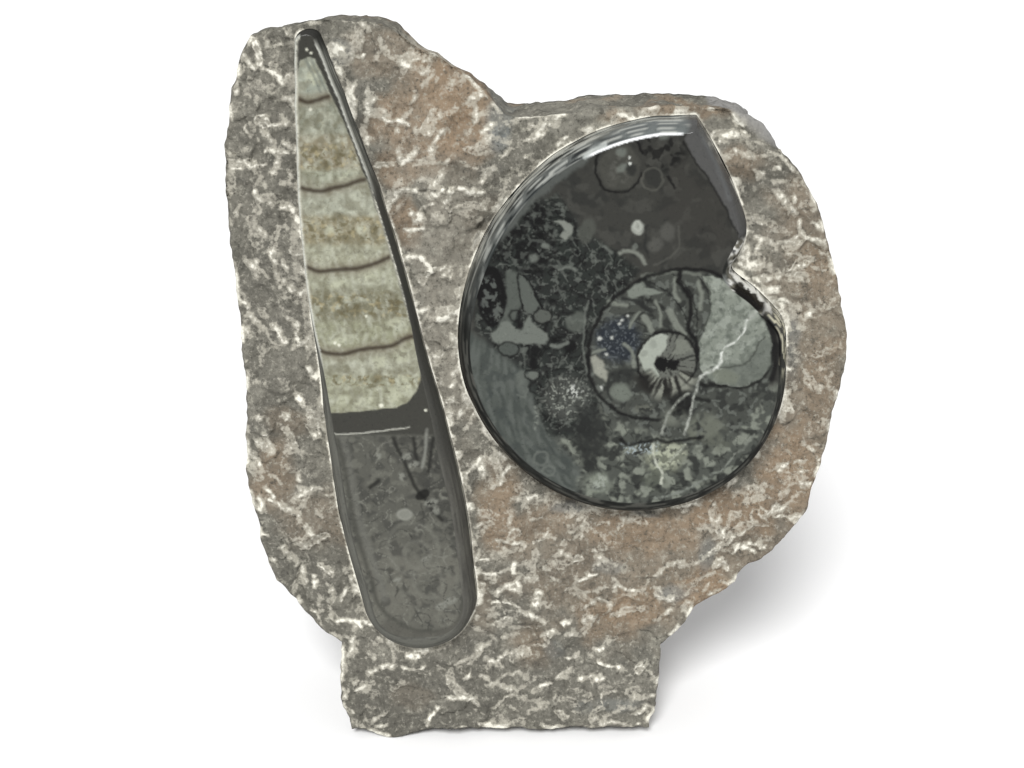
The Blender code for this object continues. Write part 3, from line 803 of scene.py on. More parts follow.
    for u0, v0, ru, rv in ((-39.4, 148.2, 1.5, 1.0), (-36.2, 151, 1.1, 1.4), (-36.6, 136.6, 1.3, 1.2),
            (-39, 131.2, 0.9, 0.8), (-35.1, 131.6, 1.0, 1.1), (-31.4, 131.2, 0.8, 0.9),
            (-28, 133.6, 0.9, 1.2), (-36, 114.5, 1.0, 0.8), (-36.8, 117, 0.6, 0.5),
            (-32.6, 114.8, 1.8, 1.2), (-27.4, 115.6, 0.8, 0.8), (-28.4, 98, 1.6, 1.1),
            (-32.3, 97.5, 0.6, 0.5), (-29.4, 96, 1.3, 0.35), (-24, 117, 1.0, 2.0)):
        c.lay((92, 86, 66), calcite * c.oval(u0, v0, ru, rv, 0.3, 0.65), 0.6)
    for u0, v0, ru, rv in ((-31, 122.4, 1.4, 1.1), (-28.4, 123.4, 1.2, 0.9), (-22.4, 103.6, 1.9, 1.8),
            (-27.6, 102, 2.2, 1.6), (-24.6, 94, 2.0, 1.7), (-21.6, 96.6, 1.3, 2.0), (-36.8, 92.6, 1.6, 1.0),
            (-31.5, 92.4, 2.4, 0.9), (-37.3, 107, 2.0, 1.0), (-24, 111.6, 2.0, 1.2),
            (-38.4, 133.4, 1.1, 0.9), (-31, 133.6, 1.2, 0.9), (-37, 120.8, 2.4, 0.9),
            (-41.4, 168, 1.1, 1.6), (-34, 146, 2.2, 0.8)):
        c.lay((182, 184, 162), calcite * c.oval(u0, v0, ru, rv, 0.3, 0.8) * c.clouds(1.4, 122, -0.5, 0.2),
                0.6)
    for u0, v0, size in ((-37.9, 106.6, 0.35), (-37, 106.1, 0.35), (-30.5, 113.2, 0.3), (-27.5, 91.3, 0.5),
            (-42, 161.1, 0.35), (-42.3, 174.4, 0.25), (-41.5, 173.6, 0.25), (-16.9, 90.2, 0.3)):
        c.lay((225, 225, 208), c.oval(u0, v0, size, size, 0, 0.25), 0.9)
    for path in ([(-42.6, 172.2), (-41, 168.5), (-39.6, 165)], [(-41.4, 172.4), (-39.8, 168.6),
            (-38.2, 165)]):
        c.lay((112, 116, 108), calcite * c.line(path, 0.55, 0.3), 0.7)
    c.lay((118, 113, 98), calcite * c.line([(-45.4, 166), (-45.7, 150), (-45.5, 136), (-44.9, 124),
            (-44, 112), (-42.8, 100), (-41.2, 90)], 1.9, 1.0), 0.55)

    # walls of the chambers
    for path in ([(-44.3, 163.4), (-42.5, 162.7), (-41, 163), (-39, 163.7), (-37.8, 164)],
            [(-44.8, 143.3), (-42, 142.6), (-40, 142.6), (-37, 143.3), (-34, 144), (-31, 145),
            (-29.6, 145.3)], [(-44.8, 125.2), (-42, 124), (-40, 123.8), (-37, 124.2), (-34, 124.4),
            (-31, 124.8), (-28, 125.8), (-24.6, 127.3)], [(-43.4, 106.2), (-41.5, 105), (-40, 104.3),
            (-38, 104), (-36, 104), (-33, 104.8), (-30, 105.3), (-26, 105.7), (-24, 106.3), (-21.5, 107.8),
            (-19.3, 108.4)]):
        c.each(c.line,
               ((120, 112, 98), 0.55, path, 2.6, 1.2),
               ((58, 50, 43), 0.88, path, 0.95, 0.5),
               within=calcite)

    # sides: dark, but scratched and grey beside the narrow end, with a white line where they meet the rock,
    # and a painted highlight along the edge of the polished top
    streaks = rough(np.column_stack([climb * 1.1, 0.14 * v]), 1.0, 124)
    left = u < np.interp(v, (26, 178), (-17.1, -43.8))
    # painted light and shade: the side is painted lighter on the left and where it faces down, and darker on
    # the right
    c.lay((94, 93, 88), bevel)
    c.lay((104, 104, 98), bevel * np.maximum(left * smooth_step(-upward, -0.6, 0.0),
            smooth_step(-upward, 0.3, 0.8)))
    c.lay((120, 120, 112), bevel * smooth_step(streaks, 0.1, 0.6), 0.3)
    c.lay((62, 62, 59), bevel * smooth_step(streaks, -0.1, -0.6), 0.4)
    c.lay((60, 60, 57), bevel * left * (1 - smooth_step(edge, 0.2, 0.7)), 0.6)
    strip = bevel * (1 - left) * smooth_step(v, 138, 150) * (1 - smooth_step(v, 175, 178))
    c.lay((102, 104, 99), strip, 0.9)
    c.lay((172, 173, 165), strip * smooth_step(streaks, 0.15, 0.6), 0.7)
    c.lay((50, 50, 48), bevel * smooth_step(v, 172, 176), 0.8)
    # painted shade on the right side
    c.lay((80, 80, 76), bevel * (1 - left) * smooth_step(v, 66, 84) * (1 - smooth_step(v, 138, 148)), 0.75)
    # painted highlight: a light line along the edge of the polished top, on the left from the middle up and
    # on the right near the narrow end
    line = 1 - smooth_step(abs(edge), 0.14, 0.4)
    wear_and_highlight = np.where(left, smooth_step(v, 96, 110), smooth_step(v, 140, 148)
            * (1 - smooth_step(v, 175, 177)))
    c.lay((192, 193, 184), line * wear_and_highlight * (0.75 + 0.25 * c.clouds(3, 121, -0.3, 0.2)))
    foot = 1 - smooth_step(climb, 0.7, 1.5)
    crushed = 0.45 + 0.55 * c.clouds(3, 125, -0.4, 0.1)
    c.lay((205, 204, 190), foot * crushed * (1 - smooth_step(v, 138, 146) * (1 - left)), 0.95)
    return {"painted": c.colour, "wear_and_highlight": bevel}


def paint_goniatite(uv, sides):
    """The coiled shell: smooth dark stone above, shell debris on the left, the small coil on the right."""
    edge, outer, climb, bevel, upward = sides.values()
    c = Canvas(uv, SMOKE)
    u, v = c.uv[:, 0], c.uv[:, 1]
    c.each(c.clouds, (SOOT, 0.5, 5, 201, 0.0, 0.6), ((76, 76, 72), 0.45, 3.5, 202, 0.1, 0.6))
    c.lay((60, 57, 54), c.patch([(40, 150), (52, 142), (55, 130), (48, 128), (38, 138)], 3), 0.2)

    # mottled stone below the small coil
    below = c.patch([(10, 84), (22, 92), (34, 90), (48, 94), (66, 96), (66, 82), (52, 68), (34, 64),
            (14, 66)], 2)
    c.lay((80, 83, 78), below, 0.8)
    c.each(c.clouds,
           (SOOT, 0.75, 3, 203, -0.05, 0.35),
           ((126, 130, 120), 0.85, 2.6, 204, -0.05, 0.6),
           within=below)
    c.lay(INK, below * c.veins(3.8, 205, 0.08), 0.45)

    # plain slate on the lower left
    left = c.patch([(-10, 112), (-4, 108), (6, 104), (9, 98), (10, 90), (14, 82), (20, 76), (18, 66),
            (6, 68), (-6, 84), (-12, 100)], 1.2)
    c.lay(SLATE, left)
    around = np.arctan2(v - COIL_CENTRE[1], u - COIL_CENTRE[0])
    away = np.hypot(u - COIL_CENTRE[0], v - COIL_CENTRE[1])
    drawn = rough(np.column_stack([0.9 * away, 8 * around]), 1.0, 208)
    c.lay((98, 102, 98), left * smooth_step(drawn, 0.05, 0.5), 0.4)
    c.lay((58, 62, 60), left * smooth_step(drawn, -0.05, -0.5), 0.5)
    c.lay((66, 70, 68), left * c.clouds(3, 207, 0.1, 0.6), 0.6)
    c.lay(ASH, c.line([(5.5, 101), (7, 98.5), (7.3, 96), (6.5, 93.6), (4.6, 94.4)], 0.4, 0.25), 0.5)
    c.lay(ASH, c.oval(5.8, 97.4, 1.4, 3.2, 0.1, 0.5), 0.4)
    c.lay(ASH, c.ring(10.5, 78.5, 1.7, 1.6, 0.6) + c.ring(12.2, 75.4, 1.4, 1.2, 0.6), 0.55)

    # torn and curled shells on the left
    debris = c.patch([(-4, 126), (2, 132), (8, 140), (14, 142), (19, 134), (28, 128), (33, 124), (27, 117),
            (22, 110), (21, 100), (24, 92), (22, 84), (12, 84), (9, 92), (7, 100), (0, 105), (-5, 110)],
            1.0)
    c.lay((47, 50, 48), debris, 0.9)
    c.each(c.clouds,
           (SOOT, 0.8, 2.8, 210, -0.1, 0.4),
           (ASH, 0.5, 1.8, 211, 0.2, 0.6),
           (INK, 0.6, 1.5, 218, 0.3, 0.6),
           within=debris)
    c.each(c.veins, (INK, 0.75, 3.4, 212, 0.1), (ASH, 0.4, 3.2, 213, 0.09), within=debris)
    blots = c.patch([(-3, 127), (2, 133), (9, 140), (13, 138), (14, 126), (8, 124), (3, 126)], 0.8)
    c.each(c.clouds,
           (INK, 0.85, 2.2, 214, -0.35, 0.1),
           ((80, 83, 79), 0.6, 1.6, 215, 0.3, 0.6),
           within=blots)

    # the black oval and the lens beside it
    c.lay((84, 88, 83), c.patch([(2, 124), (5, 124), (5.6, 116), (3, 111), (0.5, 111), (2.4, 116)], 0.4),
            0.9)
    c.lay(INK, c.oval(-1.3, 118.2, 3.5, 7.2, 0.06, 0.3))
    c.lay((92, 96, 92), c.oval(-1.6, 117.6, 2.3, 5.2, 0.06, 0.6) * c.clouds(1.7, 216, 0.0, 0.35), 0.75)
    c.lay((96, 100, 95), c.oval(0.2, 114.6, 1.2, 2.6, 0, 0.4) * c.clouds(1.1, 217, -0.3, 0.2), 0.7)
    c.lay((86, 90, 85), c.patch([(5.1, 123.8), (6.4, 122.8), (8.3, 119.4), (9.8, 116), (8.6, 114.6),
            (7, 114.2), (5.9, 116.6), (5.3, 120)], 0.25))
    c.lay(INK, c.line([(6.4, 114.4), (5.7, 116.6), (5, 120), (4.9, 123.6), (6.2, 123.4), (7.8, 121),
            (9.2, 118.2), (10.4, 115.4)], 0.5, 0.2), 0.9)
    c.lay((104, 108, 102), c.patch([(-1.6, 109), (0, 110.4), (2.5, 112.4), (4.5, 110.4), (6, 111),
            (7.6, 113.6), (8.2, 111.9), (10, 110.2), (11.6, 109.4), (11.9, 107.2), (10, 106.6), (6, 106.9),
            (3.4, 106.6), (0.4, 106.7), (-1.2, 107.4)], 0.3))
    c.each(c.oval,
           ((84, 87, 82), 1, 10.6, 113.4, 2.1, 1.7, 0.2, 0.3),
           ((76, 80, 76), 1, 2.8, 105.4, 2.3, 1.6, -0.2, 0.3))
    for spot in ((10.6, 113.4, 2.2, 1.8, 0.4), (2.8, 105.4, 2.4, 1.7, 0.45), (4.2, 113.6, 1.3, 1.4, 0.5),
            (8.1, 99.1, 1.7, 1.3, 0.45), (9, 96, 1.3, 1.4, 0.45), (14, 96.4, 1.2, 1.0, 0.6),
            (14.4, 92.6, 2.6, 2.2, 0.5), (8.6, 102.5, 1.4, 1.6, 0.4), (15, 109.6, 1.4, 1.2, 0.4)):
        c.lay(INK, c.ring(*spot), 0.8)
    for spot in ((5.3, 111.5, 0.8, 1.4), (8.8, 104.4, 1.9, 1.6), (8.6, 102, 0.9, 1.5),
            (11.4, 105.9, 1.0, 0.8), (13.4, 107.6, 2.0, 0.7), (17, 106, 1.6, 1.8), (13, 116.6, 1.2, 0.9),
            (9.5, 124.2, 1.8, 0.8)):
        c.lay(INK, c.oval(*spot, 0.2, 0.5), 0.85)
    c.lay(ASH, c.line([(12.6, 106.4), (14.4, 106), (16.4, 107)], 0.9, 0.3), 0.8)
    c.each(c.oval,
           (ASH, 0.8, 8.2, 99.1, 1.2, 0.9, 0.3, 0.3),
           ((92, 96, 90), 0.7, 18.6, 112, 2.0, 2.6, -0.5, 0.5))
    c.each(c.line,
           (INK, 0.9, [(11.9, 99.2), (12.4, 95.6), (12.9, 92.4)], 0.5, 0.25),
           (INK, 0.8, [(17.4, 97.2), (18.6, 98.6), (19.4, 98), (20.6, 100)], 0.4, 0.2))
    for width, colour, shift in ((0.6, INK, 0), (0.4, ASH, -0.6)):
        c.lay(colour, c.line([(21.6 + shift, 117), (21 + shift, 112), (20.7 + shift, 106),
                (21.6 + shift, 100)], width), 0.6)
    speckle = c.oval(16.6, 93.6, 5.4, 5.2, 0, 1.6)
    c.lay((84, 86, 82), speckle, 0.6)
    c.lay(BONE, speckle * c.clouds(0.9, 220, 0.25, 0.5), 0.5)
    c.lay(CHALK, c.oval(18.4, 95.2, 1.5, 1.7, 0, 0.6) * c.clouds(0.8, 221, 0.0, 0.3), 0.6)
    c.lay(INK, speckle * c.veins(1.8, 222, 0.12), 0.5)
    c.lay(PALE_GREY, c.line([(9, 91), (9.6, 88.4), (9, 86)], 0.8, 0.4) * c.clouds(0.9, 223, -0.3, 0.3), 0.6)
    c.lay(SOOT, c.patch([(19, 92), (25, 91), (26, 84), (24, 77), (20, 76), (18, 84)], 1.5), 0.85)

    # the upper field
    for path in ([(23.7, 152.6), (22.6, 149), (22.8, 146), (24.5, 143.4), (27, 142.5), (30, 143),
            (32, 144.6), (33, 146.6)], [(31.6, 154), (33, 151.4)], [(39, 146), (40.6, 143.4)]):
        c.lay(INK, c.line(path, 0.6, 0.25), 0.9)
    c.lay((76, 76, 71), c.oval(27.8, 148, 4.6, 5.2, 0, 0.6), 0.6)
    c.lay((90, 90, 85), c.oval(28, 147.6, 2.4, 3.4, 0, 1.2) * c.clouds(1.6, 230, -0.2, 0.4), 0.6)
    c.lay(ASH, c.oval(28.3, 151.5, 1.1, 0.9, 0, 0.5) + c.oval(28.5, 148, 1.3, 0.8, 0.5, 0.5), 0.8)
    c.lay(SOOT, c.oval(30.6, 147.6, 1.3, 1.4, 0, 0.5), 0.8)
    c.lay(CHALK, c.oval(30.4, 148.8, 0.3, 0.3, 0, 0.25) + c.oval(30.2, 150.4, 0.25, 0.25, 0, 0.25))
    dim = c.patch([(32, 155), (41, 156), (43, 151), (40, 147), (34, 148)], 1.2)
    c.lay(INK, dim * c.clouds(2.2, 231, -0.1, 0.3), 0.75)
    c.lay(ASH, c.oval(37.9, 155, 1.2, 0.8, 0, 0.4), 0.6)
    c.lay((90, 90, 84), c.ring(35.5, 145.4, 2.4, 2.5, 0.4), 0.55)
    c.lay((146, 149, 141), c.oval(32.4, 134.3, 1.4, 1.6, 0, 0.35), 0.95)
    c.lay((168, 171, 163), c.ring(32.4, 134.6, 0.8, 0.9, 0.3), 0.6)
    c.lay((82, 82, 78), c.oval(39.2, 133.4, 1.7, 2.1, 0.2, 0.6) + c.oval(36.4, 130.2, 1.7, 1.8, 0, 0.6),
            0.8)
    c.each(c.line,
           ((88, 88, 83), 0.5, [(41.6, 134.4), (42, 130.4), (40.2, 127.4), (36, 125.6)], 0.4, 0.25),
           (SOOT, 0.6, [(34.6, 134.6), (34, 131), (35, 127.4)], 0.5, 0.3),
           ((122, 125, 117), 0.85, [(28.2, 128.2), (30, 129), (31.8, 128.8), (33, 127.6), (34.2, 126)], 0.8,
                   0.35))
    c.lay(ASH, c.line([(24.8, 129.6), (26.4, 128.4)], 0.7, 0.3) + c.oval(31.8, 129.8, 0.7, 0.6), 0.7)
    c.lay((120, 123, 116), c.patch([(13, 135.6), (15.4, 136), (17.2, 134.8), (17.3, 133), (15.8, 131.5),
            (14.8, 132.1), (15.7, 133.4), (14.8, 134.8)], 0.25))
    c.lay(INK, c.line([(12.4, 136.4), (15.4, 136.8), (18, 135), (18, 132.4)], 0.4, 0.25), 0.6)
    c.lay((78, 80, 75), c.oval(20.8, 133.4, 1.9, 2.9, -0.3, 0.5), 0.8)
    c.lay(ASH, c.oval(8.4, 127, 1.0, 1.1, 0, 0.5) + c.oval(11.3, 130.1, 0.9, 0.6, 0, 0.3)
            + c.line([(14.4, 124.4), (16.2, 125), (18.2, 124.2)], 0.6, 0.3), 0.8)
    c.lay((86, 89, 86), c.patch([(1, 131), (8, 139.6), (14, 144.6), (20.4, 149.4), (22.6, 152), (20, 151.6),
            (10, 144), (2, 136)], 0.6), 0.8)

    paint_coil(c)
    paint_green(c)

    # worn rim and sides, scratched along the rim, with a painted reflection on the side that faces up
    round_it = 50 * around
    threads = rough(np.column_stack([climb * 1.5, 0.12 * round_it]), 1.0, 244)
    scratches = rough(np.column_stack([climb * 1.05, 0.17 * round_it]), 1.0, 240)
    c.lay((50, 51, 49), bevel)
    c.lay((74, 68, 60), bevel * (1 - smooth_step(upward, -0.5, 0.1)) * (1 - smooth_step(outer, 0.8, 1.7)),
            0.8)
    c.lay((104, 104, 98), bevel * smooth_step(threads, 0.12, 0.4), 0.5)
    c.lay((32, 32, 32), bevel * smooth_step(threads, -0.12, -0.4), 0.6)
    # painted reflection: the side that faces up is painted lighter and bluish grey, most of all to the right
    high = bevel * smooth_step(upward, 0.05, 0.6)
    bright = smooth_step(u, 16, 34)
    c.lay((100, 103, 101), high)
    c.lay((112, 117, 116), high * bright, 0.8)
    c.lay((40, 43, 44), high * smooth_step(scratches, 0.05, 0.35) * (1 - 0.8 * bright), 0.9)
    c.lay((178, 180, 174), high * smooth_step(scratches, -0.1, -0.4), 0.85)
    c.lay((190, 190, 180), high * (1 - bright) * (1 - smooth_step(outer, 0.3, 1.4))
            * smooth_step(threads, 0, 0.3), 0.7)
    c.lay((44, 47, 48), high * (1 - bright) * (1 - smooth_step(edge, 0.3, 0.9)), 0.6)

    # beside the coil the side is crushed white, with a painted shadow as a black band where the coil ends
    beside = bevel * smooth_step(u, 53, 54.5) * (1 - smooth_step(v, 130, 132))
    notch = beside * smooth_step(v, 112, 115)
    lower = beside * smooth_step(v, 96, 104) * (1 - smooth_step(v, 112, 115))
    c.lay((62, 63, 60), beside * smooth_step(v, 92, 98), 0.85)
    c.lay((122, 119, 108), notch, 0.9)
    c.lay((236, 236, 230), notch * smooth_step(rough(uv, 1.5, 243), -0.15, 0.1), 0.95)
    c.lay(INK, notch * smooth_step(rough(uv, 1.2, 246), 0.3, 0.45), 0.9)
    # painted shadow: the black band in the gap where the coil ends, with a white line outside it
    arm = (notch * smooth_step(u, 54.5, 55.5) * (1 - smooth_step(v, 122.5, 123.5))
            * (1 - smooth_step(u, 62, 64)))
    inner_part = smooth_step(outer + 0.3 * rough(uv, 1.2, 247), 0.75, 1.0)
    c.lay((38, 37, 36), arm * inner_part)
    c.lay((238, 238, 232), arm * (1 - inner_part) * smooth_step(outer, 0.2, 0.4), 0.9)
    c.lay((212, 208, 184), lower * smooth_step(rough(np.column_stack([climb * 0.8, 0.2 * round_it]), 1.0,
            248), 0.0, 0.25), 0.9)
    c.lay(INK, lower * (1 - smooth_step(edge, 0.5, 1.0)))
    mouth = smooth_step(u, 42, 45)
    c.lay((88, 88, 87), bevel * mouth * smooth_step(v, 131, 133))
    c.lay((86, 86, 85), c.patch([(42.6, 154.8), (44.6, 158.6), (46, 158), (50, 150.6), (54, 142), (57, 134),
            (55.6, 132.6), (52, 139.6), (47.6, 146.8), (44.2, 151)], 0.35), 0.85)
    c.each(c.line,
           ((108, 110, 110), 0.5, [(46.4, 156), (50, 149), (53.4, 141)], 1.0, 0.6),
           (INK, 0.7, [(42.4, 154), (44.2, 150.8), (47.6, 146.4), (52, 139.2), (55.4, 132.8)], 0.4, 0.25))
    # painted highlight: a white line along the upper edge of the polished top, and a softer one to its left
    glint = ((1 - smooth_step(abs(edge), 0.16, 0.4)) * smooth_step(u, 20, 21.5)
            * (1 - smooth_step(u, 41.4, 42.4)))
    c.lay((238, 240, 240), glint * (uv[:, 1] > 148))
    c.lay((192, 197, 193), c.line([(20, 150.6), (22.6, 152.3), (24.6, 153.3)], 0.8, 0.4), 0.8)
    return {"painted": c.colour, "wear_and_highlight": bevel * (1 - smooth_step(upward, 0.05, 0.5))}


def paint_coil(c):
    """The small coil: chambers with curved walls round a bright centre."""
    u, v = c.uv[:, 0], c.uv[:, 1]
    disc = c.oval(43.1, 102.7, 21.6, 21.6, 0, 0.3) * smooth_step(v + 0.35 * (u - 22), 88.5, 91.5)
    c.lay((70, 72, 68), disc)
    c.each(c.clouds, (SOOT, 0.7, 2.6, 250, 0.0, 0.5), (ASH, 0.55, 1.9, 251, 0.2, 0.5), within=disc)
    turned = np.arctan2(v - 102.7, u - 41.5) - 0.05 * (np.hypot(u - 41.5, v - 102.7) - 7)
    spokes = rough(np.column_stack([3.4 * turned, 0.06 * np.hypot(u - 41.5, v - 102.7)]), 1.0, 252)
    c.lay(INK, disc * smooth_step(abs(spokes), 0.16, 0.02) * smooth_step(v, 103, 108), 0.7)
    dusk = c.oval(28.3, 107.6, 5.2, 5.4, 0, 1.6)
    c.lay((44, 48, 54), dusk, 0.85)
    c.lay((96, 101, 104), dusk * c.clouds(0.9, 253, 0.15, 0.5), 0.6)
    for spot, size in (((29, 112.3), 0.35), ((28.4, 111.6), 0.3), ((24, 108.2), 0.5), ((27, 108.2), 0.3),
            ((30.4, 113.4), 0.3), ((25.6, 104.2), 0.35), ((24.5, 96.2), 0.3)):
        c.lay(CHALK, c.oval(*spot, size, size, 0, 0.3), 0.7)
    c.each(c.line,
           (SOOT, 0.9, [(29.2, 117.6), (32, 117.1), (34.2, 116), (35.8, 114.8)], 1.1, 0.3),
           (SOOT, 0.9, [(34.3, 122), (35.5, 120.6), (36.8, 119.6)], 0.9, 0.3))
    c.lay((118, 123, 115), c.patch([(30.2, 119.6), (31.2, 121), (33.6, 121.8), (34.6, 120.4), (36.4, 119.8),
            (38.2, 118.9), (37, 118.4), (34, 118.2), (31.6, 117.8), (30.2, 118.4)], 0.3), 0.9)
    c.lay((104, 107, 100), c.line([(33.6, 122.7), (38, 123.6), (43, 123.9), (47, 123.2)], 0.8, 0.3), 0.8)
    for path, width in (([(40, 114.6), (41.5, 112), (43.4, 109.2)], 1.6),
            ([(34.2, 113), (35.4, 111.6), (36, 110)], 1.5), ([(33, 114.4), (31.6, 112.4), (31, 110.6)],
            0.6), ([(26, 116.8), (28, 116), (30, 115.9)], 0.9), ([(46.6, 121.6), (47.4, 118), (47.2, 115)],
            0.8), ([(41.6, 122.6), (41, 119), (42.6, 117)], 0.7),
            ([(37, 117), (38, 114), (38.4, 111)], 0.6), ([(30, 106.6), (31.6, 104.6), (32, 101)], 0.8),
            ([(22.4, 104.6), (24, 105), (25.2, 105.6)], 0.5)):
        c.lay((124, 128, 119), c.line(path, width, 0.35), 0.75)
    c.each(c.patch,
           ((146, 147, 136), 0.85, [(21.9, 103.6), (23, 104), (25, 102), (26, 100), (25.6, 97.4),
                   (24, 98.6), (22.6, 100)], 0.4),
           (SOOT, 0.8, [(26, 100), (29, 100.6), (32, 100.6), (32.4, 98), (30, 97.2), (27, 97.4)], 0.6))
    c.lay(SOOT, c.line([(26.8, 99.4), (26, 96.4), (26.8, 93)], 0.8, 0.4), 0.8)
    c.lay((106, 111, 103), c.oval(29.2, 94.8, 2.4, 2.2, 0, 0.6), 0.9)
    c.lay((96, 98, 90), c.oval(34.6, 91, 2.2, 1.0, 0.2, 0.6) * c.clouds(1.4, 254, -0.3, 0.3), 0.8)

    # pale chamber on the right
    chamber = c.patch([(47.6, 122.7), (50, 122.9), (53, 121.6), (56.6, 119.1), (60.4, 115.6), (62.4, 112),
            (64, 108), (64.4, 104), (63.9, 101), (61.6, 98.1), (58.6, 96.6), (56, 96.4), (52, 97.1),
            (49.6, 98.6), (47.9, 100.4), (47.3, 103), (47.3, 107), (48.2, 109.4), (49.4, 112.6),
            (49.8, 116), (49.3, 119), (48.4, 121)], 0.22)
    c.lay((124, 129, 120), chamber)
    c.each(c.clouds,
           ((92, 97, 90), 0.65, 2.2, 255, 0.0, 0.45),
           ((148, 153, 144), 0.6, 2.6, 256, 0.0, 0.5),
           ((74, 78, 73), 0.4, 1.3, 263, 0.3, 0.6),
           within=chamber)
    c.each(c.patch,
           ((92, 96, 90), 0.75, [(51, 97), (53, 101.4), (57, 102), (60, 105), (62, 109), (66, 106),
                   (66, 97), (58, 94)], 1.0),
           ((112, 116, 104), 0.6, [(50, 100.2), (54, 100.6), (57, 99), (56, 97), (52, 97.4)], 0.6),
           within=chamber)
    for path in ([(48.6, 121), (49.5, 118.4), (49.6, 115), (48.7, 111.6), (47.3, 109.6), (46.9, 106),
            (47, 101)], [(50, 100.9), (53, 101), (56.5, 101.3), (58.6, 102.4), (60, 104), (61, 106.6),
            (62.4, 108.4)]):
        c.lay((66, 69, 64), c.line(path, 0.35, 0.2), 0.8)
    c.lay(INK, c.line([(64.6, 107), (64.4, 103), (63.9, 100.8), (61.8, 97.8), (59, 96.3), (56, 96),
            (52, 96.7), (50, 97.2)], 0.55, 0.25), 0.8)

    # walls and centre
    c.lay(INK, c.line([(42.3, 124), (42, 121.6), (43.5, 119.6), (44.8, 117.6), (45.2, 115), (44.8, 112),
            (44.6, 109.6), (46.4, 107.4), (46.9, 103)], 1.0, 0.3), 0.95)
    inner = c.oval(39.9, 102.6, 6.8, 7.0, 0, 0.25)
    c.lay((96, 98, 92), inner)
    angle = np.arctan2(v - 102, u - 39.8)
    reach = np.hypot(u - 39.8, v - 102)
    ribs = rough(np.column_stack([6.5 * angle, 0.1 * reach]), 1.0, 257)
    c.lay(INK, inner * smooth_step(abs(ribs), 0.2, 0.03), 0.75)
    c.each(c.patch,
           ((118, 121, 112), 0.7, [(42, 107.6), (44.4, 107.6), (46, 105), (43, 104.2), (41, 104)], 0.4),
           ((152, 157, 147), 1, [(33.4, 104), (34, 106.6), (36, 108.7), (38.6, 109.2), (39.9, 108.4),
                   (39.4, 106), (38.6, 104.2), (37.2, 103.4), (36.8, 101.5), (37.8, 99.8), (38, 98.8),
                   (35.6, 98.9), (34, 101)], 0.3))
    c.lay((120, 124, 116), c.oval(34.6, 104.3, 0.9, 0.7, 0, 0.3) + c.oval(36.4, 106.6, 0.8, 1.2, 0, 0.5),
            0.5)
    burst = (smooth_step(reach, 3.2, 4.2) * (1 - smooth_step(reach, 7.2, 9.6))
            * smooth_step(angle, -2.9, -2.6))
    burst = burst * (1 - smooth_step(angle, -0.6, -0.3))
    c.lay((64, 64, 60), burst, 0.9)
    petals = rough(np.column_stack([5.2 * angle, 0.12 * reach]), 1.0, 258)
    c.lay((132, 134, 124), burst * smooth_step(petals, -0.05, 0.35), 0.85)
    c.lay((34, 33, 31), burst * smooth_step(petals, -0.1, -0.3), 0.8)
    c.lay(INK, c.ring(39.8, 102.6, 7, 7.1, 0.6) * (1 - 0.7 * smooth_step(angle, -2.7, -2.4)
            * (1 - smooth_step(angle, -0.9, -0.6))), 0.9)
    c.lay(INK, c.line([(36.6, 109.2), (39.5, 109.9), (42.6, 109.2)], 1.0, 0.4), 0.8)
    teeth = 0.45 * np.cos(9 * angle + 1.5) + 0.3 * np.cos(5 * angle)
    for u0, v0, ru, rv in ((38.6, 102, 1.7, 1.6), (41.2, 101.8, 1.7, 1.2)):
        distance = c.oval_distance(u0, v0, ru, rv) + 0.5 * teeth * (u > 39)
        c.lay((27, 26, 25), 1 - smooth_step(distance, -0.2, 0.3))

    # the dark line round it all
    whorl = [(54.6, 122.6), (57, 119.7), (60, 116.7), (61.6, 114.8), (63.6, 111), (65, 107), (65.3, 102),
            (64.6, 98)]
    c.each(c.line,
           (INK, 0.85, whorl, 1.5, 0.4),
           (INK, 0.9, [(54, 121.6), (50, 123.6), (46, 124.6), (42, 124.5), (37, 123.5), (32.6, 121.6),
                   (28.6, 118.8), (25, 115), (22.6, 110.4), (21.6, 105.6), (21.4, 101), (22.4, 97),
                   (24.4, 93.6), (27.4, 91), (31, 89.2), (35, 88.4), (38.4, 88.2)], 0.85, 0.3))
    c.lay(INK, c.patch([(40.4, 93.4), (42.6, 95.4), (45.6, 95.4), (47, 93), (45.6, 90.6), (44, 88.8),
            (41.6, 89.4)], 0.7), 0.85)
    c.each(c.line,
           (INK, 0.8, [(47.4, 96.9), (50.5, 96.4), (53.6, 96.4)], 0.9, 0.3),
           (INK, 0.8, [(46.6, 93.6), (50, 92.8)], 0.9, 0.3))


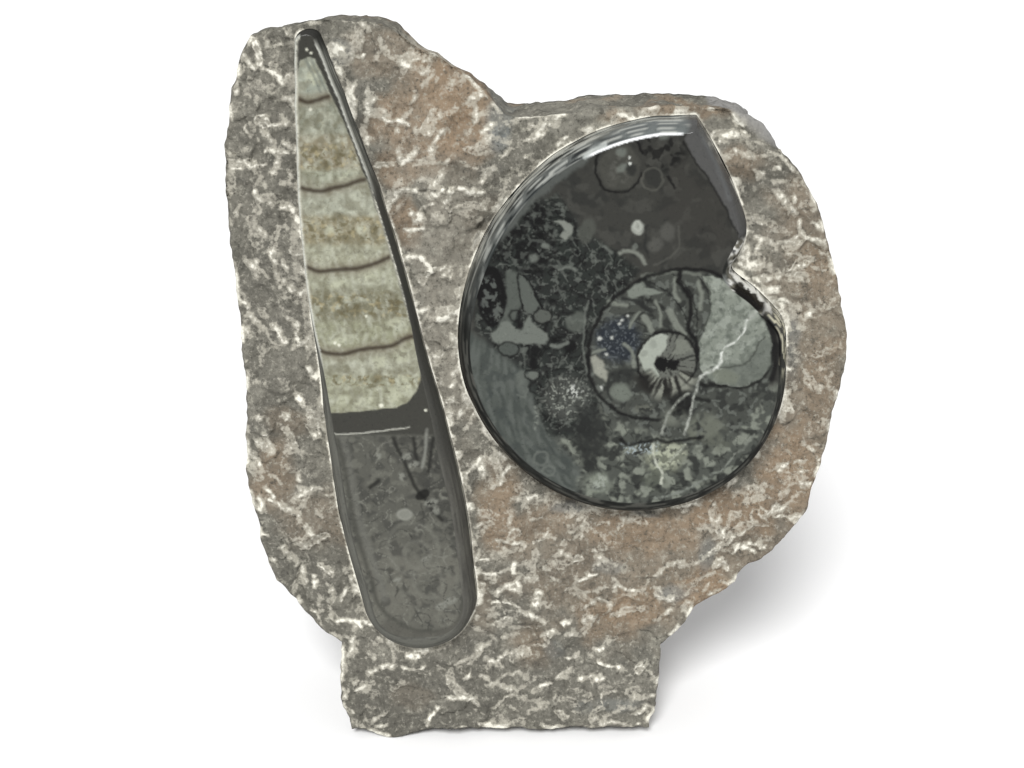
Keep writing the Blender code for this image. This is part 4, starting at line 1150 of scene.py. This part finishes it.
def paint_green(c):
    """Green and white minerals in the lower part, and the white veins that cross the small coil."""
    for spot, colour, share in (((24, 72.2, 3.2, 2.5), (122, 127, 116), 0.85),
            ((49, 86, 4.6, 3.4), (104, 107, 97), 0.8), ((40, 78.6, 5, 3.6), (112, 115, 102), 0.8),
            ((38, 73.6, 3.4, 3), (96, 100, 90), 0.6), ((41.6, 88.6, 2.6, 1.8), (112, 115, 106), 0.75),
            ((52.6, 82.6, 3, 2.4), (92, 95, 86), 0.6)):
        c.lay(colour, c.oval(*spot, 0.2, 1.5) * c.clouds(2.6, 260, -0.6, 0.1), share)
    green = c.oval(40.4, 79, 4.6, 3, 0.3, 1.4)
    c.lay((168, 172, 152), green * c.clouds(1.6, 261, -0.15, 0.4), 0.8)
    c.lay((152, 157, 148), c.oval(24.6, 72.4, 1.8, 1.8, 0.6, 1.0) * c.clouds(1.3, 262, -0.3, 0.3), 0.7)
    speckle = c.patch([(29.6, 82), (38, 82.4), (38, 80), (31, 79.4)], 0.8)
    c.lay((150, 160, 162), speckle * c.clouds(0.7, 263, 0.1, 0.35), 0.8)
    c.lay((28, 29, 30), c.line([(29.4, 83.4), (31, 81.8), (33, 82.4), (35.6, 82.6), (38, 83.2),
            (40.4, 82.6), (43, 82.8), (46, 83.5), (48, 83.8)], 0.9, 0.35), 0.9)
    for path, width, colour in (([(37, 82), (37.2, 79.6), (38, 77), (39.4, 74.6), (39.2, 72)], 0.6,
            (176, 179, 166)), ([(44.6, 82), (43, 79.6), (41, 78)], 0.6, (160, 164, 150)),
            ([(33.6, 79.4), (35, 77.6), (34.4, 75.6)], 0.4, (118, 122, 112)),
            ([(37.8, 68.6), (42, 69.3), (46, 71.1), (50, 73.6)], 0.7, (118, 122, 115)),
            ([(51, 74.4), (53.4, 75.6), (56, 78.6)], 0.5, (122, 126, 118)),
            ([(56.4, 79.4), (59, 81.6), (61, 84.4)], 0.6, (112, 115, 108)),
            ([(45, 94.6), (42.4, 92.4), (40.6, 89.6), (39.6, 86.6), (39, 84.4)], 0.5, (140, 143, 135)),
            ([(47.8, 98.4), (46.9, 96), (46.4, 93), (45.4, 89), (44.8, 86), (44.4, 84.6)], 0.5,
            (162, 165, 157)), ([(51.6, 100.8), (49.6, 99.9), (47.8, 98.4)], 0.55, (180, 183, 176)),
            ([(61.4, 115.4), (59.6, 113.9), (58.2, 112.4)], 0.5, (162, 165, 158)),
            ([(58.2, 112.6), (57.7, 110), (56.4, 108), (54.4, 106.3), (53.2, 105.2)], 0.35,
            (206, 209, 202)), ([(52.8, 104.6), (52.4, 102.6), (51.6, 101)], 0.75, (210, 213, 206))):
        broken = 0.45 + 0.55 * c.clouds(1.2, 264, -0.3, 0.2)
        c.lay(colour, c.line(path, width, 0.25) * broken, 0.95)


# ---------------------------------------------------------------- materials

class Shader:
    """A Principled material whose nodes are added by short calls."""

    def __init__(self, name):
        self.material = bpy.data.materials.new(name)
        self.material.use_nodes = True
        self.tree = self.material.node_tree
        self.principled = self.tree.nodes["Principled BSDF"]
        self.place = self.tree.nodes.new("ShaderNodeTexCoord").outputs["Object"]

    def set(self, socket, value):
        if isinstance(value, bpy.types.NodeSocket):
            self.tree.links.new(value, socket)
        else:
            socket.default_value = value

    def attribute(self, name, output="Fac"):
        node = self.tree.nodes.new("ShaderNodeAttribute")
        node.attribute_name = name
        return node.outputs[output]

    def math(self, operation, a, b):
        node = self.tree.nodes.new("ShaderNodeMath")
        node.operation = operation
        self.set(node.inputs[0], a)
        self.set(node.inputs[1], b)
        return node.outputs[0]

    def step(self, value, low, high, out_low=0.0, out_high=1.0):
        node = self.tree.nodes.new("ShaderNodeMapRange")
        node.interpolation_type = "SMOOTHSTEP"
        for socket, given in zip(node.inputs, (value, low, high, out_low, out_high)):
            self.set(socket, given)
        return node.outputs[0]

    def noise(self, size, detail, roughness):
        """Noise of 0 to 1 with features of the given size in mm."""
        node = self.tree.nodes.new("ShaderNodeTexNoise")
        self.tree.links.new(self.place, node.inputs["Vector"])
        node.inputs["Scale"].default_value = 1 / (size * MM)
        node.inputs["Detail"].default_value = detail
        node.inputs["Roughness"].default_value = roughness
        return node.outputs["Fac"]

    def mix(self, share, a, b, blend="MIX"):
        node = self.tree.nodes.new("ShaderNodeMix")
        node.data_type = "RGBA"
        node.blend_type = blend
        node.clamp_factor = True
        self.set(node.inputs["Factor"], share)
        for socket, colour in ((node.inputs[6], a), (node.inputs[7], b)):
            self.set(socket, (*colour, 1) if isinstance(colour, tuple) else colour)
        return node.outputs[2]

    def tint(self, base, colour, texture, low, high, most):
        """The base, with this colour where the texture passes from low to high."""
        return self.mix(self.step(texture, low, high, 0.0, most), base, colour)

    def bump(self, height, distance, strength):
        node = self.tree.nodes.new("ShaderNodeBump")
        node.inputs["Strength"].default_value = strength
        node.inputs["Distance"].default_value = distance * MM
        self.tree.links.new(height, node.inputs["Height"])
        return node.outputs[0]

    def finish(self, piece, **values):
        for name, value in values.items():
            self.set(self.principled.inputs[name.replace("_", " ").title().replace("Ior", "IOR")], value)
        piece.data.materials.append(self.material)


ROCK_DARK, ROCK_LIGHT = (0.104, 0.099, 0.082), (0.143, 0.136, 0.113)
RUST_BROWN = (0.220, 0.156, 0.099)
CRUSHED_GREY, CRUSHED_WHITE = (0.39, 0.37, 0.31), (0.74, 0.72, 0.63)
WORN_ROUGHNESS = 0.85


def limestone(piece):
    """Grey-brown rock, mottled and pitted, stained brown in places and crushed pale by the chisel."""
    s = Shader("chiselled_limestone")
    broad = s.noise(15, 3, 0.6)
    mottle = s.noise(4.5, 5, 0.68)
    flake = s.noise(1.9, 4, 0.7)
    grain = s.noise(0.9, 4, 0.7)
    speck = s.noise(0.5, 2, 0.7)
    base = s.mix(s.step(broad, 0.36, 0.64), ROCK_DARK, ROCK_LIGHT)
    base = s.tint(base, (0.235, 0.225, 0.187), mottle, 0.5, 0.72, 0.75)
    base = s.tint(base, (0.066, 0.064, 0.055), mottle, 0.47, 0.28, 0.65)
    rust = s.math("MULTIPLY", s.attribute("rust"), s.step(mottle, 0.25, 0.6, 0.55, 1.0))
    base = s.mix(s.math("MULTIPLY", rust, 0.85), base, RUST_BROWN)
    for stain, share, colour in (("cool", 0.75, (0.150, 0.164, 0.161)),
                                 ("pale", 0.6, (0.235, 0.226, 0.190)),
                                 ("shade", 0.6, (0.068, 0.065, 0.055))):
        base = s.mix(s.math("MULTIPLY", s.attribute(stain), share), base, colour)
    base = s.tint(base, (0.054, 0.051, 0.042), flake, 0.46, 0.3, 0.65)
    base = s.tint(base, (0.300, 0.288, 0.238), flake, 0.53, 0.68, 0.55)
    base = s.tint(base, (0.036, 0.034, 0.028), grain, 0.47, 0.27, 0.85)
    base = s.tint(base, (0.36, 0.345, 0.292), grain, 0.54, 0.74, 0.6)

    # crushed by the chisel, ragged at the grains and flakes, and less so where it's rusty
    spared = s.math("SUBTRACT", 1.0, s.math("MULTIPLY", rust, 0.12))
    ragged = s.math("MULTIPLY", s.attribute("bruise"), spared)
    for texture, share in ((grain, 0.8), (flake, 0.9)):
        ragged = s.math("ADD", ragged, s.math("MULTIPLY", s.math("SUBTRACT", texture, 0.5), share))
    base = s.tint(base, CRUSHED_GREY, ragged, 0.12, 0.5, 0.62)
    base = s.tint(base, CRUSHED_WHITE, ragged, 0.5, 1.0, 0.86)
    base = s.tint(base, (0.030, 0.028, 0.022), speck, 0.65, 0.73, 0.75)

    # the fresh break at the upper right corner
    base = s.mix(s.math("MULTIPLY", s.attribute("fresh"), 0.85), base, (0.262, 0.257, 0.247))
    flakes = s.step(flake, 0.48, 0.6, 0.0, 0.7)
    base = s.mix(s.math("MULTIPLY", s.attribute("fresh"), flakes), base, (0.13, 0.126, 0.118))
    relief = s.math("ADD", s.math("MULTIPLY", grain, 0.6), s.math("MULTIPLY", speck, 0.4))
    s.finish(piece, base_color=base, roughness=0.9, specular_ior_level=0.3, normal=s.bump(relief, 0.35, 0.5))


def polished(piece, name, roughness):
    """Stone in its painted colours, finely grained, and dull where its rim and sides show wear."""
    s = Shader(name)
    painted = s.attribute("painted", "Color")
    grain = s.noise(0.7, 3, 0.65)
    darker = s.tint(painted, (0.0, 0.0, 0.0), grain, 0.45, 0.2, 0.4)
    lighter = s.mix(s.step(grain, 0.55, 0.8, 0.0, 0.5), darker, (1.5, 1.5, 1.45), "MULTIPLY")
    dulled = s.step(s.attribute("wear_and_highlight"), 0.0, 1.0, roughness, WORN_ROUGHNESS)
    s.finish(piece, base_color=lighter, roughness=dulled, specular_ior_level=0.16)


# ---------------------------------------------------------------- studio

SKY_STRENGTH = 0.5
FLOOR_SIZE = 8                                  # m
WINDOW_DIRECTION = Vector((-0.15, -1, 0.85))    # towards the light
WINDOW_STRENGTH = 3.6
WINDOW_SOFTNESS = radians(18)                   # how wide the light looks
LENS = 60
SENSOR_WIDTH = 36
CAMERA_AIM = Vector((0.0035, -0.016, 0.094))
CAMERA_DISTANCE = 0.4115
CAMERA_ELEVATION = radians(20)


def studio():
    """White paper under an even sky, with one broad light from the front and above."""
    scene = bpy.context.scene
    scene.view_settings.view_transform = "Standard"
    world = bpy.data.worlds.new("studio")
    world.use_nodes = True
    world.node_tree.nodes["Background"].inputs["Color"].default_value = (1, 1, 1, 1)
    world.node_tree.nodes["Background"].inputs["Strength"].default_value = SKY_STRENGTH
    scene.world = world
    bpy.ops.mesh.primitive_plane_add(size=FLOOR_SIZE, location=(0, 2, 0))
    floor = bpy.context.object
    floor.name = "studio_floor"
    Shader("white_paper").finish(floor, base_color=(0.93, 0.93, 0.93, 1), roughness=0.9)
    lamp = bpy.data.lights.new("window", "SUN")
    lamp.energy = WINDOW_STRENGTH
    lamp.angle = WINDOW_SOFTNESS
    holder = bpy.data.objects.new("window", lamp)
    holder.rotation_euler = WINDOW_DIRECTION.to_track_quat("Z", "Y").to_euler()
    scene.collection.objects.link(holder)


def camera():
    data = bpy.data.cameras.new("camera")
    data.lens = LENS
    data.sensor_width = SENSOR_WIDTH
    data.clip_start = 0.01
    holder = bpy.data.objects.new("camera", data)
    away = Vector((0, -cos(CAMERA_ELEVATION), sin(CAMERA_ELEVATION)))
    holder.location = CAMERA_AIM + away * CAMERA_DISTANCE
    holder.rotation_euler = (-away).to_track_quat("-Z", "Y").to_euler()
    bpy.context.scene.collection.objects.link(holder)
    bpy.context.scene.camera = holder


def main():
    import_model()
    collection = bpy.data.collections.new("fossil_plaque")
    bpy.context.scene.collection.children.link(collection)
    studio()
    camera()

    ortho = ortho_outline()
    goniatite = goniatite_outline()
    slab = build_slab([offset_loop(loop, SEAT_LINE) for loop in (ortho, goniatite)])
    straight = build_shell("polished_orthoceras", ortho, ortho_runs(ortho), ORTHO_RELIEF, paint_ortho)
    coiled = build_shell("polished_goniatite", goniatite, goniatite_runs(goniatite), GONIATITE_RELIEF,
                         paint_goniatite)
    limestone(slab)
    polished(straight, "orthoceras_polish", 0.28)
    polished(coiled, "goniatite_polish", 0.22)
    for piece, node, slot in ((slab, "matrix_slab", "chiselled_limestone"),
                              (straight, "orthoceras", "polished_orthoceras"),
                              (coiled, "goniatite", "polished_goniatite")):
        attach(piece, "root")
        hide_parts(node)


main()
